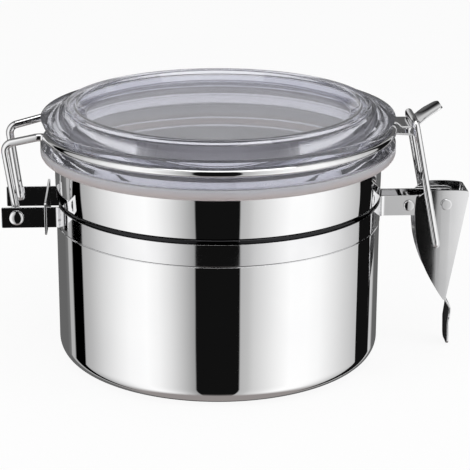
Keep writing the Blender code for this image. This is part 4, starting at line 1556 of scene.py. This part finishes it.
@dataclass
class Studio:
    """A pale floor, soft lamps, a white surround and the camera at the photograph's viewing angle."""

    lamps: tuple[tuple[str, Triple, Pair, float], ...] = (
        ("top_box", (0.1, -0.2, 1.1), (0.9, 0.9), 5.0),
        ("left_box", (-0.9, -0.5, 0.6), (0.5, 0.8), 2.6),
        ("right_box", (0.95, -0.35, 0.55), (0.4, 0.8), 2.0),
    )
    sky_level: float = 0.55
    floor_radius: float = 2.5
    floor_dark: Colour = (0.80, 0.80, 0.80)
    floor_light: Colour = (0.83, 0.83, 0.83)
    floor_glow: float = 0.9
    floor_roughness: float = 0.9
    floor_gloss: float = 0.1
    grain_scale: float = 900.0
    grain_detail: float = 3.0
    distance: float = 0.68824
    elevation: float = math.radians(17.825)
    azimuth: float = math.radians(-2.5)
    aim: Triple = (0.0, 0.0, 50.0 * MM)
    focal_px: float = 1764.72
    axis_px: Pair = (218.06, 225.16)
    frame_px: float = 470.0
    sensor: float = 36.0
    wall_radius: float = 62.5 * MM
    tent: Tent = field(default_factory=Tent)

    def eye(self) -> Vector:
        """Where the camera stands."""
        level = self.distance * math.cos(self.elevation)
        return Vector((
            level * math.sin(self.azimuth),
            -level * math.cos(self.azimuth),
            self.aim[2] + self.distance * math.sin(self.elevation),
        ))

    def camera(self) -> None:
        """Places the camera."""
        data = bpy.data.cameras.new("camera")
        camera = bpy.data.objects.new("camera", data)
        bpy.context.scene.collection.objects.link(camera)
        data.sensor_width = self.sensor
        data.lens = self.sensor * self.focal_px / self.frame_px
        half = self.frame_px / 2
        data.shift_x = (half - self.axis_px[0]) / self.frame_px
        data.shift_y = (self.axis_px[1] - half) / self.frame_px
        data.clip_start, data.clip_end = 0.01, 50.0
        camera.location = self.eye()
        camera.rotation_euler = (Vector(self.aim) - self.eye()).to_track_quat("-Z", "Y").to_euler()
        bpy.context.scene.camera = camera

    def lamp(self, name: str, place: Sequence[float], size: Pair, watts: float) -> None:
        """Adds a soft box that faces the can."""
        data = bpy.data.lights.new(name, "AREA")
        data.shape = "RECTANGLE"
        data.size, data.size_y = size
        data.energy = watts
        lamp = bpy.data.objects.new(name, data)
        lamp.location = place
        lamp.rotation_euler = (Vector(self.aim) - Vector(place)).to_track_quat("-Z", "Y").to_euler()
        lamp.visible_transmission = False
        bpy.context.scene.collection.objects.link(lamp)

    def surround(self) -> None:
        """A white surround for the camera, mirrors and glass, and a plain grey sky for the rest."""
        world = bpy.data.worlds.new("surround")
        bpy.context.scene.world = world
        world.use_nodes = True
        tree = world.node_tree
        tree.nodes.clear()
        mix = tree.nodes.new("ShaderNodeMixShader")
        out = tree.nodes.new("ShaderNodeOutputWorld")
        tree.links.new(seen_directly(tree), mix.inputs[0])
        for socket, level in zip(mix.inputs[1:], (self.sky_level, 1.0)):
            sky = tree.nodes.new("ShaderNodeBackground")
            sky.inputs["Color"].default_value = (1, 1, 1, 1)
            sky.inputs["Strength"].default_value = level
            tree.links.new(sky.outputs[0], socket)
        tree.links.new(mix.outputs[0], out.inputs[0])

    def floor(self) -> None:
        """A pale table that shows white with the can's soft shadow on it."""
        shape = bmesh.new()
        bmesh.ops.create_circle(shape, cap_ends=True, segments=96, radius=self.floor_radius)
        floor = object_from(shape, "floor")
        nodes = Nodes("floor_paper")
        grain = nodes.noise(nodes.object_place(), self.grain_scale, self.grain_detail)
        paper = nodes.complete({
            "Base Color": nodes.tint(grain, self.floor_dark, self.floor_light),
            "Roughness": self.floor_roughness,
            "Specular IOR Level": self.floor_gloss,
        })
        glow = nodes.add("Emission", Color=(1, 1, 1, 1), Strength=1.0)
        mix = nodes.add("MixShader", Fac=nodes.math("MULTIPLY", seen_directly(nodes.tree), self.floor_glow))
        nodes.join(mix.inputs[1], nodes.shader.outputs[0])
        nodes.join(mix.inputs[2], glow.outputs[0])
        nodes.surface(mix)
        floor.data.materials.append(paper)
        floor.visible_glossy = False

    def mirrored(self, azimuth: float) -> Vector:
        """The place on the tent that the camera sees in the can's wall at an azimuth.

        Args:
            azimuth: The place on the wall, in degrees from the front towards +X.

        Returns:
            The tent's point, at the height of the tent's middle.
        """
        a = math.radians(azimuth)
        out = Vector((math.sin(a), -math.cos(a)))
        spot = out * self.wall_radius
        ray = (spot - self.eye().xy).normalized()
        bounced = ray - 2 * ray.dot(out) * out
        along = spot.dot(bounced)
        reach = -along + math.sqrt(along**2 - spot.length_squared + self.tent.radius**2)
        place = spot + bounced * reach
        return Vector((place.x, place.y, self.tent.middle))

    def pitch(self) -> None:
        """Puts up the tent: one column for each stop, and its dark ceiling and its ground."""
        tent = self.tent
        columns = []
        for azimuth, level in tent.stops:
            place = self.mirrored(azimuth)
            column = []
            for elevation, end in tent.rows:
                rise = Vector((0, 0, tent.radius * math.tan(math.radians(elevation))))
                colour = tent.ground if end < 0 else tent.ceiling if end > 0 else (level, level, level)
                column.append((place + rise, colour))
            columns.append(column)
        self.hang("light_tent", columns, closed=True)

    def card(self) -> None:
        """Stands a soft-edged white card behind the can, low enough to lie mirrored in the lid's window."""
        tent = self.tent
        columns = []
        for across, level in tent.card_columns:
            column = []
            for height, upright in tent.card_rows:
                grey = tent.ceiling[0] + tent.card_level * level * upright
                column.append((Vector((across, tent.card_distance, height)), (grey, grey, grey)))
            columns.append(column)
        self.hang("back_card", columns)

    def flag(self) -> None:
        """Stands a small dark flag beside the can, which keeps the lever out of the wall's dark stripe."""
        tent = self.tent
        ends = (tent.flag_foot, tent.flag_top)
        columns = [[(Vector((*spot, end)), (DARK, DARK, DARK)) for end in ends] for spot in tent.flag]
        self.hang("dark_flag", columns)

    def hang(
        self, name: str, columns: Sequence[Sequence[tuple[Vector, Colour]]], closed: bool = False,
    ) -> None:
        """Hangs a glowing cloth that is seen in mirrors alone.

        Args:
            name: The cloth's name.
            columns: Columns of places, and how the cloth glows there.
            closed: Whether the cloth runs all round and has a top and a foot.
        """
        shape = bmesh.new()
        glow = shape.verts.layers.float_color.new("Glow")
        lines = []
        for column in columns:
            line = [shape.verts.new(place) for place, _ in column]
            for vert, (_, colour) in zip(line, column):
                vert[glow] = (*colour, 1)
            lines.append(line)
        for left, right in zip(lines, lines[1:] + lines[: int(closed)]):
            for i in range(len(left) - 1):
                shape.faces.new((left[i], right[i], right[i + 1], left[i + 1]))
        if closed:
            for i in (0, -1):
                shape.faces.new([line[i] for line in lines])
        cloth = object_from(shape, name)
        if "tent_cloth" not in _materials:
            nodes = Nodes("tent_cloth")
            nodes.surface(nodes.add("Emission", Color=nodes.attribute("Glow", "Color"), Strength=1.0))
            _materials["tent_cloth"] = nodes.material
        cloth.data.materials.append(_materials["tent_cloth"])
        cloth.visible_camera = False
        cloth.visible_diffuse = False
        cloth.visible_transmission = False
        cloth.visible_volume_scatter = False
        cloth.visible_shadow = False

    def build(self) -> None:
        """Sets up the whole studio."""
        self.surround()
        self.floor()
        self.camera()
        self.pitch()
        self.card()
        self.flag()
        for lamp in self.lamps:
            self.lamp(*lamp)


def seen_directly(tree: bpy.types.NodeTree) -> Socket:
    """One where a camera, glossy or transmission ray sees the surface, and zero for the rest."""
    path = tree.nodes.new("ShaderNodeLightPath")
    total = path.outputs["Is Camera Ray"]
    for name in ("Is Glossy Ray", "Is Transmission Ray"):
        node = tree.nodes.new("ShaderNodeMath")
        node.operation = "MAXIMUM"
        tree.links.new(total, node.inputs[0])
        tree.links.new(path.outputs[name], node.inputs[1])
        total = node.outputs[0]
    return total


def keep_node(name: str, finish: Finish) -> None:
    """Gives a node that stays as it is a finish.

    Args:
        name: The node's name.
        finish: Its finish.
    """
    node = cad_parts[name]
    node.data.materials.clear()
    node.data.materials.append(dressed(finish))
    LOG.info("%s stays and is dressed as %s", name, finish.name)


def main() -> None:
    """Builds the studio and the canister."""
    logging.basicConfig(level=logging.INFO, format="%(name)s: %(message)s")
    clamp_rivet = Rivet("canister")
    lever_pin = Rivet(
        body="lever",
        node="lever_pin",
        name="lever_pin_domed",
        place=(87.9 * MM, 0.0, 59.5 * MM),
        shaft=1.5 * MM,
        half_grip=7.45 * MM,
        head_height=0.45 * MM,
    )
    for group in (Studio(), Can(), Strap(), Retainer(), clamp_rivet):
        group.build()
    keep_node("clamp_spacer", PRESSED)
    for group in (Lid(), Gasket(), RingWire(), Catch(), Lever(), lever_pin, Bail()):
        group.build()
    bpy.context.scene.view_settings.view_transform = "Standard"


if __name__ == "__main__":
    main()
